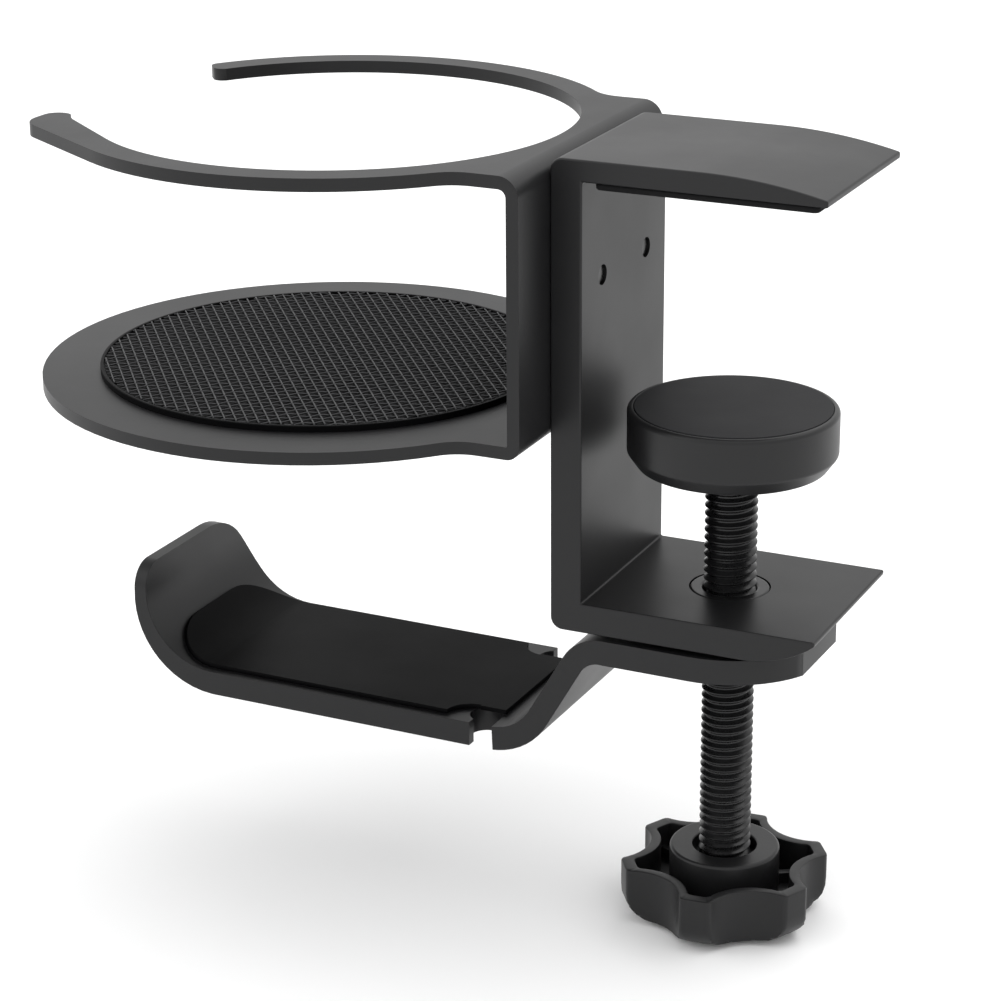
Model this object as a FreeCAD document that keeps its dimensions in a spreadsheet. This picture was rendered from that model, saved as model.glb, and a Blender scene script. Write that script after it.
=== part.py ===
"""Desk clamp with a cup ring, a cup tray and a swivelling headphone hook.

Frame: +Z up, +X from the web towards the tips of the jaws. The origin is on the
face that rests on the desk top (the underside of the upper jaw's pad), on the
axis of the clamping screw. All sizes are in millimetres.
"""

import FreeCAD
import Part
import Sketcher

import math
import os

DOC = FreeCAD.newDocument("desk_clamp_cup_holder")
SAME = 1e-6         # lengths closer than this are the same
TURN = 360          # degrees in a full turn
LOBES = 6           # lobes and ribs of the knob
HEXAGON = 6         # corners of a hexagon

SIZES = {
    # Extruded aluminium clamp frame
    "reach": 21.9,              # screw axis to the outer face of the web
    "jaw_width": 31.0,
    "jaw_gap": 62.4,            # metal to metal
    "web_thick": 4.8,
    "upper_thick": 3.2,
    "upper_length": 40.0,       # from the outer face of the web
    "upper_tip": 1.0,
    "upper_crown_start": 22.0,  # where the top face starts to fall
    "lower_thick": 4.5,
    "lower_length": 40.4,
    "lower_tip": 0.7,
    "lower_crown_start": 29.5,  # where the underside starts to rise
    "corner_round": 1.8,
    # Foam pad under the upper jaw
    "pad_thick": 1.0,
    "pad_inset": 0.5,
    "pad_web_gap": 1.6,
    # Bent sheet bracket that carries the cup
    "sheet": 1.9,
    "bracket_half": 25.9,
    "bracket_top": 3.6,         # top face of the ring above the origin
    "tray_top": -35.1,
    "top_bend": 3.1,            # outer radius of the bend
    "tray_bend": 2.1,
    "ring_offset": 41.3,        # outer face of the web to the ring's centre
    "ring_inner": 36.0,
    "ring_outer": 40.6,
    "tray_offset": 44.1,
    "tray_round": 43.0,
    "neck_round": 6.5,
    "away_out_angle": 147.5,    # ends of the arm on the +Y side
    "away_in_angle": 150.0,
    "near_out_angle": -121.0,   # where the arm on the -Y side goes straight
    "near_in_angle": -128.0,
    "near_out_x": -39.1,        # corners of its tip, from the ring's centre
    "near_out_y": -23.8,
    "near_end_x": -38.7,
    "near_end_y": -16.4,
    "near_top_x": -35.4,
    "near_top_y": -16.9,
    "near_in_x": -33.9,
    "near_in_y": -19.3,
    "near_in_round": 6.0,       # rounding of each corner
    "near_top_round": 1.6,
    "near_end_round": 2.2,
    "near_out_round": 5.0,
    "away_tip_round": 1.6,
    # Bracket screws, M3 button head
    "fix_height": -14.0,
    "fix_spacing": 16.0,
    "fix_round": 1.45,
    "fix_hole": 1.5,
    "fix_clear": 1.7,
    "fix_head": 2.85,
    "fix_head_tall": 1.65,
    "fix_rim": 0.55,            # upright rim below the head's dome
    "fix_crown": 1.3,           # flat top of the dome
    "fix_end": 0.4,             # screw end below the inner face of the web
    "fix_key": 2.0,
    "fix_key_deep": 1.0,
    # Non-slip mat on the tray
    "mat_round": 34.3,
    "mat_thick": 0.6,
    "mesh_round": 33.6,
    "mesh_thick": 0.5,
    # Threaded bush, swivel washer and retaining ring
    "bush_round": 6.0,
    "bush_bore": 3.92,
    "bush_foot": -71.4,
    "washer_thick": 0.6,
    "washer_round": 12.0,
    "swivel_play": 0.1,
    "clip_round": 8.4,
    "clip_thick": 0.8,
    "clip_groove": 5.4,
    "clip_mouth": 2.4,
    # Headphone hook, bent from flat bar
    "hook_swing": -0.8,         # how far it stands swung about the screw
    "hook_half": 15.8,
    "plate_end": 14.2,          # screw axis to the flat end of the rounded plate
    "plate_top": -66.6,
    "plate_under": -70.4,
    "arm_top": -83.55,
    "arm_under": -87.3,
    "ramp_angle": 60.0,
    "high_bend_out": 7.0,
    "high_bend_in": 3.6,
    "high_corner_out": 17.6,
    "high_corner_in": 15.86,
    "low_corner_in": 27.37,
    "low_corner_out": 25.62,
    "low_bend_in": 7.5,
    "low_bend_out": 11.3,
    "curl_in": 11.4,
    "curl_out": 14.0,
    "curl_in_far": 79.8,        # screw axis to the centres of the curl
    "curl_out_far": 79.3,
    "curl_top": -67.9,
    "curl_near_round": 4.0,
    "curl_away_round": 12.0,
    "notch_far": 34.0,          # cable holes, from the screw's axis
    "notch_side": 12.0,
    "notch_round": 2.5,
    "notch_slot_start": 31.4,   # their slots to the edge
    "notch_slot_end": 35.1,
    "notch_slot_side": 12.0,
    # Soft inlay on the arm
    "inlay_thick": 0.7,
    "inlay_half": 14.3,
    "inlay_climb": 53.0,        # how far round the curl it reaches, in degrees
    "inlay_start": 31.9,
    "inlay_round": 9.0,
    "bite_far": 35.6,           # round bites beside the cable holes
    "bite_side": 14.6,
    "bite_round": 3.9,
    "bite_slot_start": 31.0,    # straight cuts from the bites to the inlay's start
    "bite_slot_end": 35.6,
    "bite_slot_side": 10.95,
    # Clamping screw, M8 x 1.25
    "screw_round": 3.85,
    "screw_top": -43.6,
    "screw_foot": -112.6,
    "spigot_round": 1.75,
    "spigot_top": -36.3,
    "rivet_round": 2.0,
    # Swivel ball and pressure pad
    "ball_round": 3.2,
    "ball_bore": 1.82,
    "ball_height": -39.4,
    "ball_flat": 2.4,           # ball centre to its flats
    "seat_round": 3.28,
    "seat_split": -38.6,        # where plate and cap meet around the ball
    "neck_opening": 2.6,
    "neck_flare": 3.2,
    "collar_round": 2.0,
    "collar_gap": 0.05,
    "cap_round": 5.0,
    "cap_bore": 2.7,
    "cap_roof": -35.7,
    "press_round": 15.3,
    "press_top": -33.7,
    "press_foot": -42.3,
    "press_floor": -34.8,       # floor of the recess for the face
    "press_chamfer": 1.5,
    "press_chamfer_tall": 2.1,
    "press_rim": 0.8,
    "recess_round": 14.4,
    "face_round": 14.1,
    "face_top": -33.6,
    # Star knob
    "knob_round": 15.75,
    "knob_top": -105.4,
    "knob_foot": -114.0,
    "lobe_angle": 34.5,
    "lobe_half": 8.6,
    "scallop_round": 7.6,
    "hollow_round": 13.7,
    "hollow_half": 6.5,
    "hollow_scallop": 7.9,
    "knob_floor": -110.6,
    "hub_round": 8.3,
    "hub_top": -103.2,
    "hub_recess": 4.85,
    "hub_recess_deep": 2.0,
    "hub_bore": 3.9,
    "rib_thick": 1.3,
    "rib_drop": 3.4,
    "rib_reach": 12.9,
    "nut_flats": 13.0,
    "nut_top": -108.0,
    "cover_round": 7.9,
    "cover_thick": 1.2,
    "belly_wide": 4.4,
    "belly_tall": 4.0,
}


def make_sheet():
    """Spreadsheet of the driving dimensions, one alias to a row."""
    sheet = DOC.addObject("Spreadsheet::Sheet", "Dim")
    for row, (alias, size) in enumerate(SIZES.items(), start=1):
        sheet.set("A%d" % row, alias)
        sheet.set("B%d" % row, str(size))
        sheet.setAlias("B%d" % row, alias)
    DOC.recompute()
    return sheet


SHEET = make_sheet()


def size(formula):
    """Value of a formula of sheet aliases, each written as Dim.alias."""
    return float(SHEET.evalExpression(formula))


def body(label):
    """New PartDesign body, labelled with the node's name."""
    made = DOC.addObject("PartDesign::Body", label)
    made.Label = label
    return made


def plane(owner, role):
    """One of the origin planes of a body."""
    found = [item for item in owner.Origin.OriginFeatures if item.Role == role]
    return found[0]


def sketch_on(owner, role, name, offset="0"):
    """Sketch on an origin plane, moved along the plane's normal by a formula."""
    sketch = owner.newObject("Sketcher::SketchObject", name)
    sketch.AttachmentSupport = [(plane(owner, role), "")]
    sketch.MapMode = "FlatFace"
    sketch.setExpression(".AttachmentOffset.Base.z", offset)
    return sketch


def bind(sketch, kind, place, formula):
    """Add one dimension to a sketch and tie it to the sheet."""
    index = sketch.addConstraint(Sketcher.Constraint(kind, *place, size(formula)))
    sketch.setExpression("Constraints[%d]" % index, formula)


def pin_point(sketch, edge, end, across, up):
    """Fix one end of an edge by its two distances from the sketch's origin."""
    bind(sketch, "DistanceX", (-1, 1, edge, end), across)
    bind(sketch, "DistanceY", (-1, 1, edge, end), up)


def arc_centre(start, finish, radius, turn):
    """Centre of an arc of under half a turn; turn is 1 to the left, -1 to the right."""
    chord = finish - start
    half = chord.Length / 2
    rise = math.sqrt(max(radius * radius - half * half, 0))
    side = FreeCAD.Vector(-chord.y, chord.x, 0) * (turn * rise / chord.Length)
    return (start + finish) * 0.5 + side


def outline(sketch, corners):
    """Closed loop through the corners.

    A corner is (x, y), which a straight edge leaves, or (x, y, radius, turn),
    which an arc leaves, to the left for a turn of 1 and to the right for -1.
    """
    spots = [FreeCAD.Vector(size(c[0]), size(c[1]), 0) for c in corners]
    edges = []
    for index, corner in enumerate(corners):
        start, finish = spots[index], spots[(index + 1) % len(spots)]
        if len(corner) == 2:
            edge = sketch.addGeometry(Part.LineSegment(start, finish))
            edges.append((edge, 1, 2))
            continue
        radius, turn = size(corner[2]), corner[3]
        centre = arc_centre(start, finish, radius, turn)
        first, last = (start, finish) if turn > 0 else (finish, start)
        angles = [math.atan2(p.y - centre.y, p.x - centre.x) for p in (first, last)]
        circle = Part.Circle(centre, FreeCAD.Vector(0, 0, 1), radius)
        edge = sketch.addGeometry(Part.ArcOfCircle(circle, *angles))
        bind(sketch, "Radius", (edge,), corner[2])
        edges.append((edge, 1, 2) if turn > 0 else (edge, 2, 1))
    for index, (edge, start_end, _) in enumerate(edges):
        before, _, finish_end = edges[index - 1]
        sketch.addConstraint(Sketcher.Constraint("Coincident", before, finish_end, edge, start_end))
        pin_point(sketch, edge, start_end, corners[index][0], corners[index][1])


def circle(sketch, across, up, radius):
    """Circle with its centre and radius tied to the sheet."""
    spot = FreeCAD.Vector(size(across), size(up), 0)
    edge = sketch.addGeometry(Part.Circle(spot, FreeCAD.Vector(0, 0, 1), size(radius)))
    bind(sketch, "Radius", (edge,), radius)
    pin_point(sketch, edge, 3, across, up)


def feature(owner, kind, name, sketch, length=None, both=False, reverse=False):
    """Pad or pocket of a sketch; a pocket with no length goes right through."""
    made = owner.newObject("PartDesign::" + kind, name)
    made.Profile = sketch
    if length is None:
        made.Type = "ThroughAll"
    else:
        made.setExpression("Length", length)
    made.Midplane = both
    made.Reversed = reverse
    owner.Tip = made
    DOC.recompute()
    return made


def turned(owner, kind, name, sketch):
    """Full revolution or groove of a sketch about its upright axis."""
    made = owner.newObject("PartDesign::" + kind, name)
    made.Profile = sketch
    made.ReferenceAxis = (sketch, ["V_Axis"])
    made.Angle = TURN
    owner.Tip = made
    DOC.recompute()
    return made


def around(owner, name, original, count):
    """Polar pattern of one feature about the upright axis."""
    made = owner.newObject("PartDesign::PolarPattern", name)
    made.Originals = [original]
    made.Axis = (plane(owner, "Z_Axis"), [""])
    made.Angle = TURN
    made.Occurrences = count
    owner.Tip = made
    DOC.recompute()
    return made


def turned_part(label, corners):
    """Body made by turning one closed profile about the screw's axis."""
    made = body(label)
    sketch = sketch_on(made, "XZ_Plane", label + "_profile")
    outline(sketch, corners)
    turned(made, "Revolution", label + "_turning", sketch)
    return made


def clamp_frame():
    """C-shaped extrusion: web, upper jaw and lower jaw, both jaws thin at the tip."""
    made = body("clamp_frame")
    profile = sketch_on(made, "XZ_Plane", "frame_profile")
    outer, inner = "-Dim.reach", "Dim.web_thick - Dim.reach"
    roof = "Dim.pad_thick + Dim.upper_thick"
    floor = "Dim.pad_thick - Dim.jaw_gap"
    base = floor + " - Dim.lower_thick"
    upper_end = "Dim.upper_length - Dim.reach"
    lower_end = "Dim.lower_length - Dim.reach"
    fall = "(Dim.upper_thick - Dim.upper_tip)"
    run = "(Dim.upper_length - Dim.upper_crown_start)"
    lift = "(Dim.lower_thick - Dim.lower_tip)"
    slope_run = "(Dim.lower_length - Dim.lower_crown_start)"
    crown = "({1}^2 + {0}^2) / (2 * {0})"
    outline(profile, [
        (outer, base + " + Dim.corner_round"),
        (outer, roof + " - Dim.corner_round", "Dim.corner_round", -1),
        (outer + " + Dim.corner_round", roof),
        ("Dim.upper_crown_start - Dim.reach", roof, crown.format(fall, run), -1),
        (upper_end, "Dim.pad_thick + Dim.upper_tip"),
        (upper_end, "Dim.pad_thick"),
        (inner, "Dim.pad_thick"),
        (inner, floor),
        (lower_end, floor),
        (lower_end, floor + " - Dim.lower_tip", crown.format(lift, slope_run), -1),
        ("Dim.lower_crown_start - Dim.reach", base),
        (outer + " + Dim.corner_round", base, "Dim.corner_round", -1),
    ])
    feature(made, "Pad", "frame_extrusion", profile, "Dim.jaw_width", both=True)
    seat = sketch_on(made, "XY_Plane", "bush_seat")
    circle(seat, "0", "0", "Dim.bush_round")
    feature(made, "Pocket", "bush_hole", seat)
    taps = sketch_on(made, "YZ_Plane", "bracket_taps")
    for side in ("-", ""):
        circle(taps, side + "Dim.fix_spacing / 2", "Dim.fix_height", "Dim.fix_hole")
    feature(made, "Pocket", "tapped_holes", taps)
    return made


WALL = "(-Dim.reach)"
RING = "(-Dim.reach - Dim.ring_offset)"
TRAY = "(-Dim.reach - Dim.tray_offset)"


def disc(label, across, radius, bottom, tall):
    """Body that is one plain disc."""
    made = body(label)
    sketch = sketch_on(made, "XY_Plane", label + "_round", bottom)
    circle(sketch, across, "0", radius)
    feature(made, "Pad", label + "_disc", sketch, tall)
    return made


def rounded(owner, name, chosen, radius):
    """Fillet the edges of a body for which chosen(edge) is true."""
    base = owner.Tip
    names = ["Edge%d" % (i + 1) for i, e in enumerate(base.Shape.Edges) if chosen(e)]
    made = owner.newObject("PartDesign::Fillet", name)
    made.Base = (base, names)
    made.setExpression("Radius", radius)
    owner.Tip = made
    DOC.recompute()
    return made


def upper_jaw_pad():
    """Soft pad under the upper jaw."""
    made = body("upper_jaw_pad")
    sketch = sketch_on(made, "XY_Plane", "pad_outline")
    start = WALL + " + Dim.web_thick + Dim.pad_web_gap"
    end = WALL + " + Dim.upper_length - 2 * Dim.pad_inset"
    side = "(Dim.jaw_width / 2 - Dim.pad_inset)"
    outline(sketch, [(start, "-" + side), (end, "-" + side), (end, side), (start, side)])
    feature(made, "Pad", "pad_sheet", sketch, "Dim.pad_thick")


def neck(centre, radius):
    """Formulas of the two ends of a neck's hollow round: on the straight, on the circle."""
    reach = "({0} + Dim.neck_round)".format(radius)
    rise = "(Dim.bracket_half + Dim.neck_round)"
    run = "sqrt({0}^2 - {1}^2)".format(reach, rise)
    straight = "{0} + {1}".format(centre, run)
    share = "({0} / {1})".format(radius, reach)
    return straight, "{0} + {1} * {2}".format(centre, run, share), "{0} * {1}".format(rise, share)


def from_centre(centre, radius, angle):
    """Formulas of a point on a circle about a centre on the X axis."""
    return "{0} + {1} * cos({2})".format(centre, radius, angle), "{0} * sin({1})".format(radius, angle)


def ring_outline(sketch):
    """Open ring: one arm follows the circle, the other runs out straight."""
    edge = WALL + " - Dim.top_bend"
    half = "Dim.bracket_half"
    straight, across, side = neck(RING, "Dim.ring_outer")
    corners = [
        (edge, "-" + half),
        (edge, half),
        (straight, half, "Dim.neck_round", -1),
        (across, side, "Dim.ring_outer", 1),
        from_centre(RING, "Dim.ring_outer", "Dim.away_out_angle"),
        from_centre(RING, "Dim.ring_inner", "Dim.away_in_angle") + ("Dim.ring_inner", -1),
        (RING + " + Dim.ring_inner", "0", "Dim.ring_inner", -1),
        from_centre(RING, "Dim.ring_inner", "Dim.near_in_angle"),
    ]
    for name in ("in", "top", "end", "out"):
        corners.append((RING + " + Dim.near_%s_x" % name, "Dim.near_%s_y" % name))
    corners.append(from_centre(RING, "Dim.ring_outer", "Dim.near_out_angle") + ("Dim.ring_outer", 1))
    corners.append((across, "-" + side, "Dim.neck_round", -1))
    corners.append((straight, "-" + half))
    outline(sketch, corners)


def tray_outline(sketch):
    """Disc joined to the web by a short neck."""
    edge = WALL + " - Dim.tray_bend"
    half = "Dim.bracket_half"
    straight, across, side = neck(TRAY, "Dim.tray_round")
    outline(sketch, [
        (edge, "-" + half),
        (edge, half),
        (straight, half, "Dim.neck_round", -1),
        (across, side, "Dim.tray_round", 1),
        (TRAY + " - Dim.tray_round", "0", "Dim.tray_round", 1),
        (across, "-" + side, "Dim.neck_round", -1),
        (straight, "-" + half),
    ])


def cup_bracket():
    """Bent sheet: ring above, web against the clamp, tray below."""
    made = body("cup_bracket")
    bent = sketch_on(made, "XZ_Plane", "bracket_profile")
    back = WALL + " - Dim.sheet"
    high, low = WALL + " - Dim.top_bend", WALL + " - Dim.tray_bend"
    roof, floor = "Dim.bracket_top", "Dim.tray_top"
    inner_top, inner_low = "Dim.top_bend - Dim.sheet", "Dim.tray_bend - Dim.sheet"
    outline(bent, [
        (high, roof, "Dim.top_bend", -1),
        (WALL, roof + " - Dim.top_bend"),
        (WALL, floor + " - Dim.sheet + Dim.tray_bend", "Dim.tray_bend", -1),
        (low, floor + " - Dim.sheet"),
        (low, floor, inner_low, 1),
        (back, floor + " - Dim.sheet + Dim.tray_bend"),
        (back, roof + " - Dim.top_bend", inner_top, 1),
        (high, roof + " - Dim.sheet"),
    ])
    feature(made, "Pad", "bracket_web", bent, "2 * Dim.bracket_half", both=True)
    ring = sketch_on(made, "XY_Plane", "ring_profile", "Dim.bracket_top - Dim.sheet")
    ring_outline(ring)
    feature(made, "Pad", "cup_ring", ring, "Dim.sheet")
    tray = sketch_on(made, "XY_Plane", "tray_profile", "Dim.tray_top - Dim.sheet")
    tray_outline(tray)
    feature(made, "Pad", "cup_tray", tray, "Dim.sheet")
    holes = sketch_on(made, "YZ_Plane", "bracket_holes")
    for side in ("-", ""):
        circle(holes, side + "Dim.fix_spacing / 2", "Dim.fix_height", "Dim.fix_clear")
    feature(made, "Pocket", "screw_holes", holes)
    round_tips(made)
    return made


def round_tips(bracket):
    """Round the corners of both arms' tips."""
    for name in ("in", "top", "end", "out"):
        spot = (RING + " + Dim.near_%s_x" % name, "Dim.near_%s_y" % name)
        rounded(bracket, "near_%s_corner" % name, lambda edge: upright_at(edge, spot),
                "Dim.near_%s_round" % name)
    for name, radius in (("in", "Dim.ring_inner"), ("out", "Dim.ring_outer")):
        spot = from_centre(RING, radius, "Dim.away_%s_angle" % name)
        rounded(bracket, "away_%s_corner" % name, lambda edge: upright_at(edge, spot),
                "Dim.away_tip_round")


def upright_at(edge, spot):
    """True for an upright edge at a place in plan, given as two formulas."""
    ends = [vertex.Point for vertex in edge.Vertexes]
    place = [size(formula) for formula in spot]
    level = abs(ends[0].z - ends[-1].z) < SAME
    return not level and all(math.dist((end.x, end.y), place) < SAME for end in ends)


def bracket_screw(label, side):
    """Button-head screw that fixes the bracket to the web, its head on the -X side."""
    length = "(Dim.sheet + Dim.web_thick - Dim.fix_end)"
    made = turned_part(label, [
        ("0", "-" + length),
        ("Dim.fix_round", "-" + length),
        ("Dim.fix_round", "0"),
        ("Dim.fix_head", "0"),
        ("Dim.fix_head", "Dim.fix_rim", "Dim.fix_head", 1),
        ("Dim.fix_crown", "Dim.fix_head_tall"),
        ("0", "Dim.fix_head_tall"),
    ])
    key = sketch_on(made, "XY_Plane", label + "_key", "Dim.fix_head_tall")
    hexagon(key, "Dim.fix_key")
    feature(made, "Pocket", label + "_socket", key, "Dim.fix_key_deep")
    made.Placement.Rotation = FreeCAD.Rotation(FreeCAD.Vector(0, 1, 0), -90)
    made.setExpression("Placement.Base.x", WALL + " - Dim.sheet")
    made.setExpression("Placement.Base.y", side + "Dim.fix_spacing / 2")
    made.setExpression("Placement.Base.z", "Dim.fix_height")
    return made


def hexagon(sketch, flats):
    """Regular hexagon about the sketch's origin, from the distance across its flats."""
    radius = "({0} / 2 / cos({1}))".format(flats, TURN / HEXAGON / 2)
    angles = [str(TURN / HEXAGON * step) for step in range(HEXAGON)]
    outline(sketch, [from_centre("0", radius, angle) for angle in angles])


def mats():
    """Rubber base and open mesh that the cup stands on."""
    disc("cup_mat_base", TRAY, "Dim.mat_round", "Dim.tray_top", "Dim.mat_thick")
    disc("cup_mat_mesh", TRAY, "Dim.mesh_round", "Dim.tray_top + Dim.mat_thick", "Dim.mesh_thick")


def swivel_parts():
    """Threaded bush through the lower jaw, its washer and its retaining ring."""
    top = "(Dim.pad_thick - Dim.jaw_gap)"
    under = "(Dim.plate_under - Dim.swivel_play)"
    turned_part("threaded_bush", [
        ("Dim.bush_bore", top),
        ("Dim.bush_bore", "Dim.bush_foot"),
        ("Dim.bush_round", "Dim.bush_foot"),
        ("Dim.bush_round", under + " - Dim.clip_thick"),
        ("Dim.clip_groove", under + " - Dim.clip_thick"),
        ("Dim.clip_groove", under),
        ("Dim.bush_round", under),
        ("Dim.bush_round", top),
    ])
    washer_top = top + " - Dim.lower_thick"
    inside = "Dim.bush_round + Dim.swivel_play"
    turned_part("swivel_washer", [
        (inside, washer_top),
        (inside, washer_top + " - Dim.washer_thick"),
        ("Dim.washer_round", washer_top + " - Dim.washer_thick"),
        ("Dim.washer_round", washer_top),
    ])
    clip = turned_part("hook_retaining_ring", [
        ("Dim.clip_groove", under),
        ("Dim.clip_groove", under + " - Dim.clip_thick"),
        ("Dim.clip_round", under + " - Dim.clip_thick"),
        ("Dim.clip_round", under),
    ])
    mouth = sketch_on(clip, "XY_Plane", "clip_mouth_cut")
    side = "Dim.clip_mouth / 2"
    outline(mouth, [("0", "-" + side), ("2 * Dim.clip_round", "-" + side),
                    ("2 * Dim.clip_round", side), ("0", side)])
    feature(clip, "Pocket", "clip_mouth", mouth)


def on_flat(corner, level, radius, way):
    """Formulas of a bend's end on the level side; way is + or -."""
    return "-Dim.{0} {1} Dim.{2} * tan(Dim.ramp_angle / 2)".format(corner, way, radius), "Dim." + level


def on_ramp(corner, level, radius, way):
    """Formulas of a bend's end on the ramp; way is + for up, - for down."""
    along = "Dim.{0} * tan(Dim.ramp_angle / 2)".format(radius)
    return ("-Dim.{0} {1} {2} * cos(Dim.ramp_angle)".format(corner, way, along),
            "Dim.{0} {1} {2} * sin(Dim.ramp_angle)".format(level, way, along))


def hook_profile(sketch):
    """Side outline of the hook: plate, ramp, arm and a curl that thins to its end."""
    high_out = ("high_corner_out", "plate_top", "high_bend_out")
    low_in = ("low_corner_in", "arm_top", "low_bend_in")
    low_out = ("low_corner_out", "arm_under", "low_bend_out")
    high_in = ("high_corner_in", "plate_under", "high_bend_in")
    inside = "-Dim.curl_in_far - Dim.curl_in"
    outside = "-Dim.curl_out_far - Dim.curl_out"
    outline(sketch, [
        ("Dim.plate_end", "Dim.plate_top"),
        on_flat(*high_out, "+") + ("Dim.high_bend_out", 1),
        on_ramp(*high_out, "-"),
        on_ramp(*low_in, "+") + ("Dim.low_bend_in", -1),
        on_flat(*low_in, "-"),
        ("-Dim.curl_in_far", "Dim.arm_top", "Dim.curl_in", -1),
        (inside, "Dim.arm_top + Dim.curl_in"),
        (inside, "Dim.curl_top"),
        (outside, "Dim.curl_top"),
        (outside, "Dim.arm_under + Dim.curl_out", "Dim.curl_out", 1),
        ("-Dim.curl_out_far", "Dim.arm_under"),
        on_flat(*low_out, "-") + ("Dim.low_bend_out", 1),
        on_ramp(*low_out, "+"),
        on_ramp(*high_in, "-") + ("Dim.high_bend_in", -1),
        on_flat(*high_in, "+"),
        ("Dim.plate_end", "Dim.plate_under"),
    ])


def keyholes(owner, kind):
    """Cut two cable holes, each with a slot to its edge of the arm; kind is notch or bite."""
    holes = sketch_on(owner, "XY_Plane", kind + "_holes")
    slots = sketch_on(owner, "XY_Plane", kind + "_slots")
    start, end = "-Dim.%s_slot_start" % kind, "-Dim.%s_slot_end" % kind
    for side in ("-", ""):
        circle(holes, "-Dim.%s_far" % kind, side + "Dim.%s_side" % kind, "Dim.%s_round" % kind)
        near, away = side + "Dim.%s_slot_side" % kind, side + "2 * Dim.hook_half"
        outline(slots, [(end, near), (start, near), (start, away), (end, away)])
    feature(owner, "Pocket", kind + "_hole_cut", holes)
    feature(owner, "Pocket", kind + "_slot_cut", slots)


def corner_cut(owner, label, role, offset, corner, radius, signs):
    """Round off one corner of an outline, given the signs of its two directions."""
    across, up = corner
    right, top = signs
    back_x = "{0} {1} {2}".format(across, "-" if right > 0 else "+", radius)
    back_y = "{0} {1} {2}".format(up, "-" if top > 0 else "+", radius)
    out_x = "{0} {1} {2}".format(across, "+" if right > 0 else "-", radius)
    out_y = "{0} {1} {2}".format(up, "+" if top > 0 else "-", radius)
    sketch = sketch_on(owner, role, label + "_corner", offset)
    outline(sketch, [(across, back_y, radius, right * top), (back_x, up), (back_x, out_y),
                     (out_x, out_y), (out_x, back_y)])
    return feature(owner, "Pocket", label + "_rounding", sketch)


def headphone_hook():
    """Bent bar that turns about the bush, with a curled end and cable keyholes."""
    made = body("headphone_hook")
    side = sketch_on(made, "XZ_Plane", "hook_profile")
    hook_profile(side)
    feature(made, "Pad", "hook_bar", side, "2 * Dim.hook_half", both=True)
    for name, sign in (("near", -1), ("away", 1)):
        edge = "-Dim.hook_half" if sign < 0 else "Dim.hook_half"
        corner_cut(made, "plate_" + name, "XY_Plane", "0", ("Dim.hook_half", edge),
                   "Dim.hook_half", (1, sign))
        corner_cut(made, "curl_" + name, "YZ_Plane", "-Dim.curl_in_far", (edge, "Dim.curl_top"),
                   "Dim.curl_%s_round" % name, (sign, 1))
    bore = sketch_on(made, "XY_Plane", "hook_bore")
    circle(bore, "0", "0", "Dim.bush_round + Dim.swivel_play")
    feature(made, "Pocket", "swivel_bore", bore)
    keyholes(made, "notch")
    swing(made)
    return made


def swing(made):
    """Stand a body swung about the screw's axis by the hook's angle."""
    made.Placement.Rotation = FreeCAD.Rotation(FreeCAD.Vector(0, 0, 1), size("Dim.hook_swing"))


def hook_pad():
    """Soft inlay on top of the arm that climbs a little way up the curl."""
    made = body("hook_pad")
    side = sketch_on(made, "XZ_Plane", "inlay_profile")
    level = "Dim.arm_top + Dim.curl_in"
    reach = "(Dim.curl_in - Dim.inlay_thick)"
    ends = ["-Dim.curl_in_far - {0} * sin(Dim.inlay_climb)".format(r) for r in ("Dim.curl_in", reach)]
    rises = ["{0} - {1} * cos(Dim.inlay_climb)".format(level, r) for r in ("Dim.curl_in", reach)]
    outline(side, [
        ("-Dim.inlay_start", "Dim.arm_top"),
        ("-Dim.curl_in_far", "Dim.arm_top", "Dim.curl_in", -1),
        (ends[0], rises[0]),
        (ends[1], rises[1], reach, 1),
        ("-Dim.curl_in_far", "Dim.arm_top + Dim.inlay_thick"),
        ("-Dim.inlay_start", "Dim.arm_top + Dim.inlay_thick"),
    ])
    feature(made, "Pad", "inlay_strip", side, "2 * Dim.inlay_half", both=True)
    for name, sign in (("near", -1), ("away", 1)):
        edge = "-Dim.inlay_half" if sign < 0 else "Dim.inlay_half"
        corner_cut(made, "inlay_" + name, "XY_Plane", "0", (ends[0], edge), "Dim.inlay_round",
                   (-1, sign))
    keyholes(made, "bite")
    swing(made)
    return made


def screw_and_ball():
    """Clamping screw with a spigot, and the ball riveted on the spigot."""
    low = "Dim.ball_height - Dim.ball_flat"
    high = "Dim.ball_height + Dim.ball_flat"
    turned_part("clamp_screw", [
        ("0", "Dim.screw_foot"),
        ("Dim.screw_round", "Dim.screw_foot"),
        ("Dim.screw_round", "Dim.screw_top"),
        ("Dim.collar_round", "Dim.screw_top"),
        ("Dim.collar_round", low + " - Dim.collar_gap"),
        ("Dim.spigot_round", low + " - Dim.collar_gap"),
        ("Dim.spigot_round", high + " + Dim.collar_gap"),
        ("Dim.rivet_round", high + " + Dim.collar_gap"),
        ("Dim.rivet_round", "Dim.spigot_top"),
        ("0", "Dim.spigot_top"),
    ])
    flat = "sqrt(Dim.ball_round^2 - Dim.ball_flat^2)"
    turned_part("pivot_ball", [
        ("Dim.ball_bore", low),
        (flat, low, "Dim.ball_round", 1),
        (flat, high),
        ("Dim.ball_bore", high),
    ])


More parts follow.
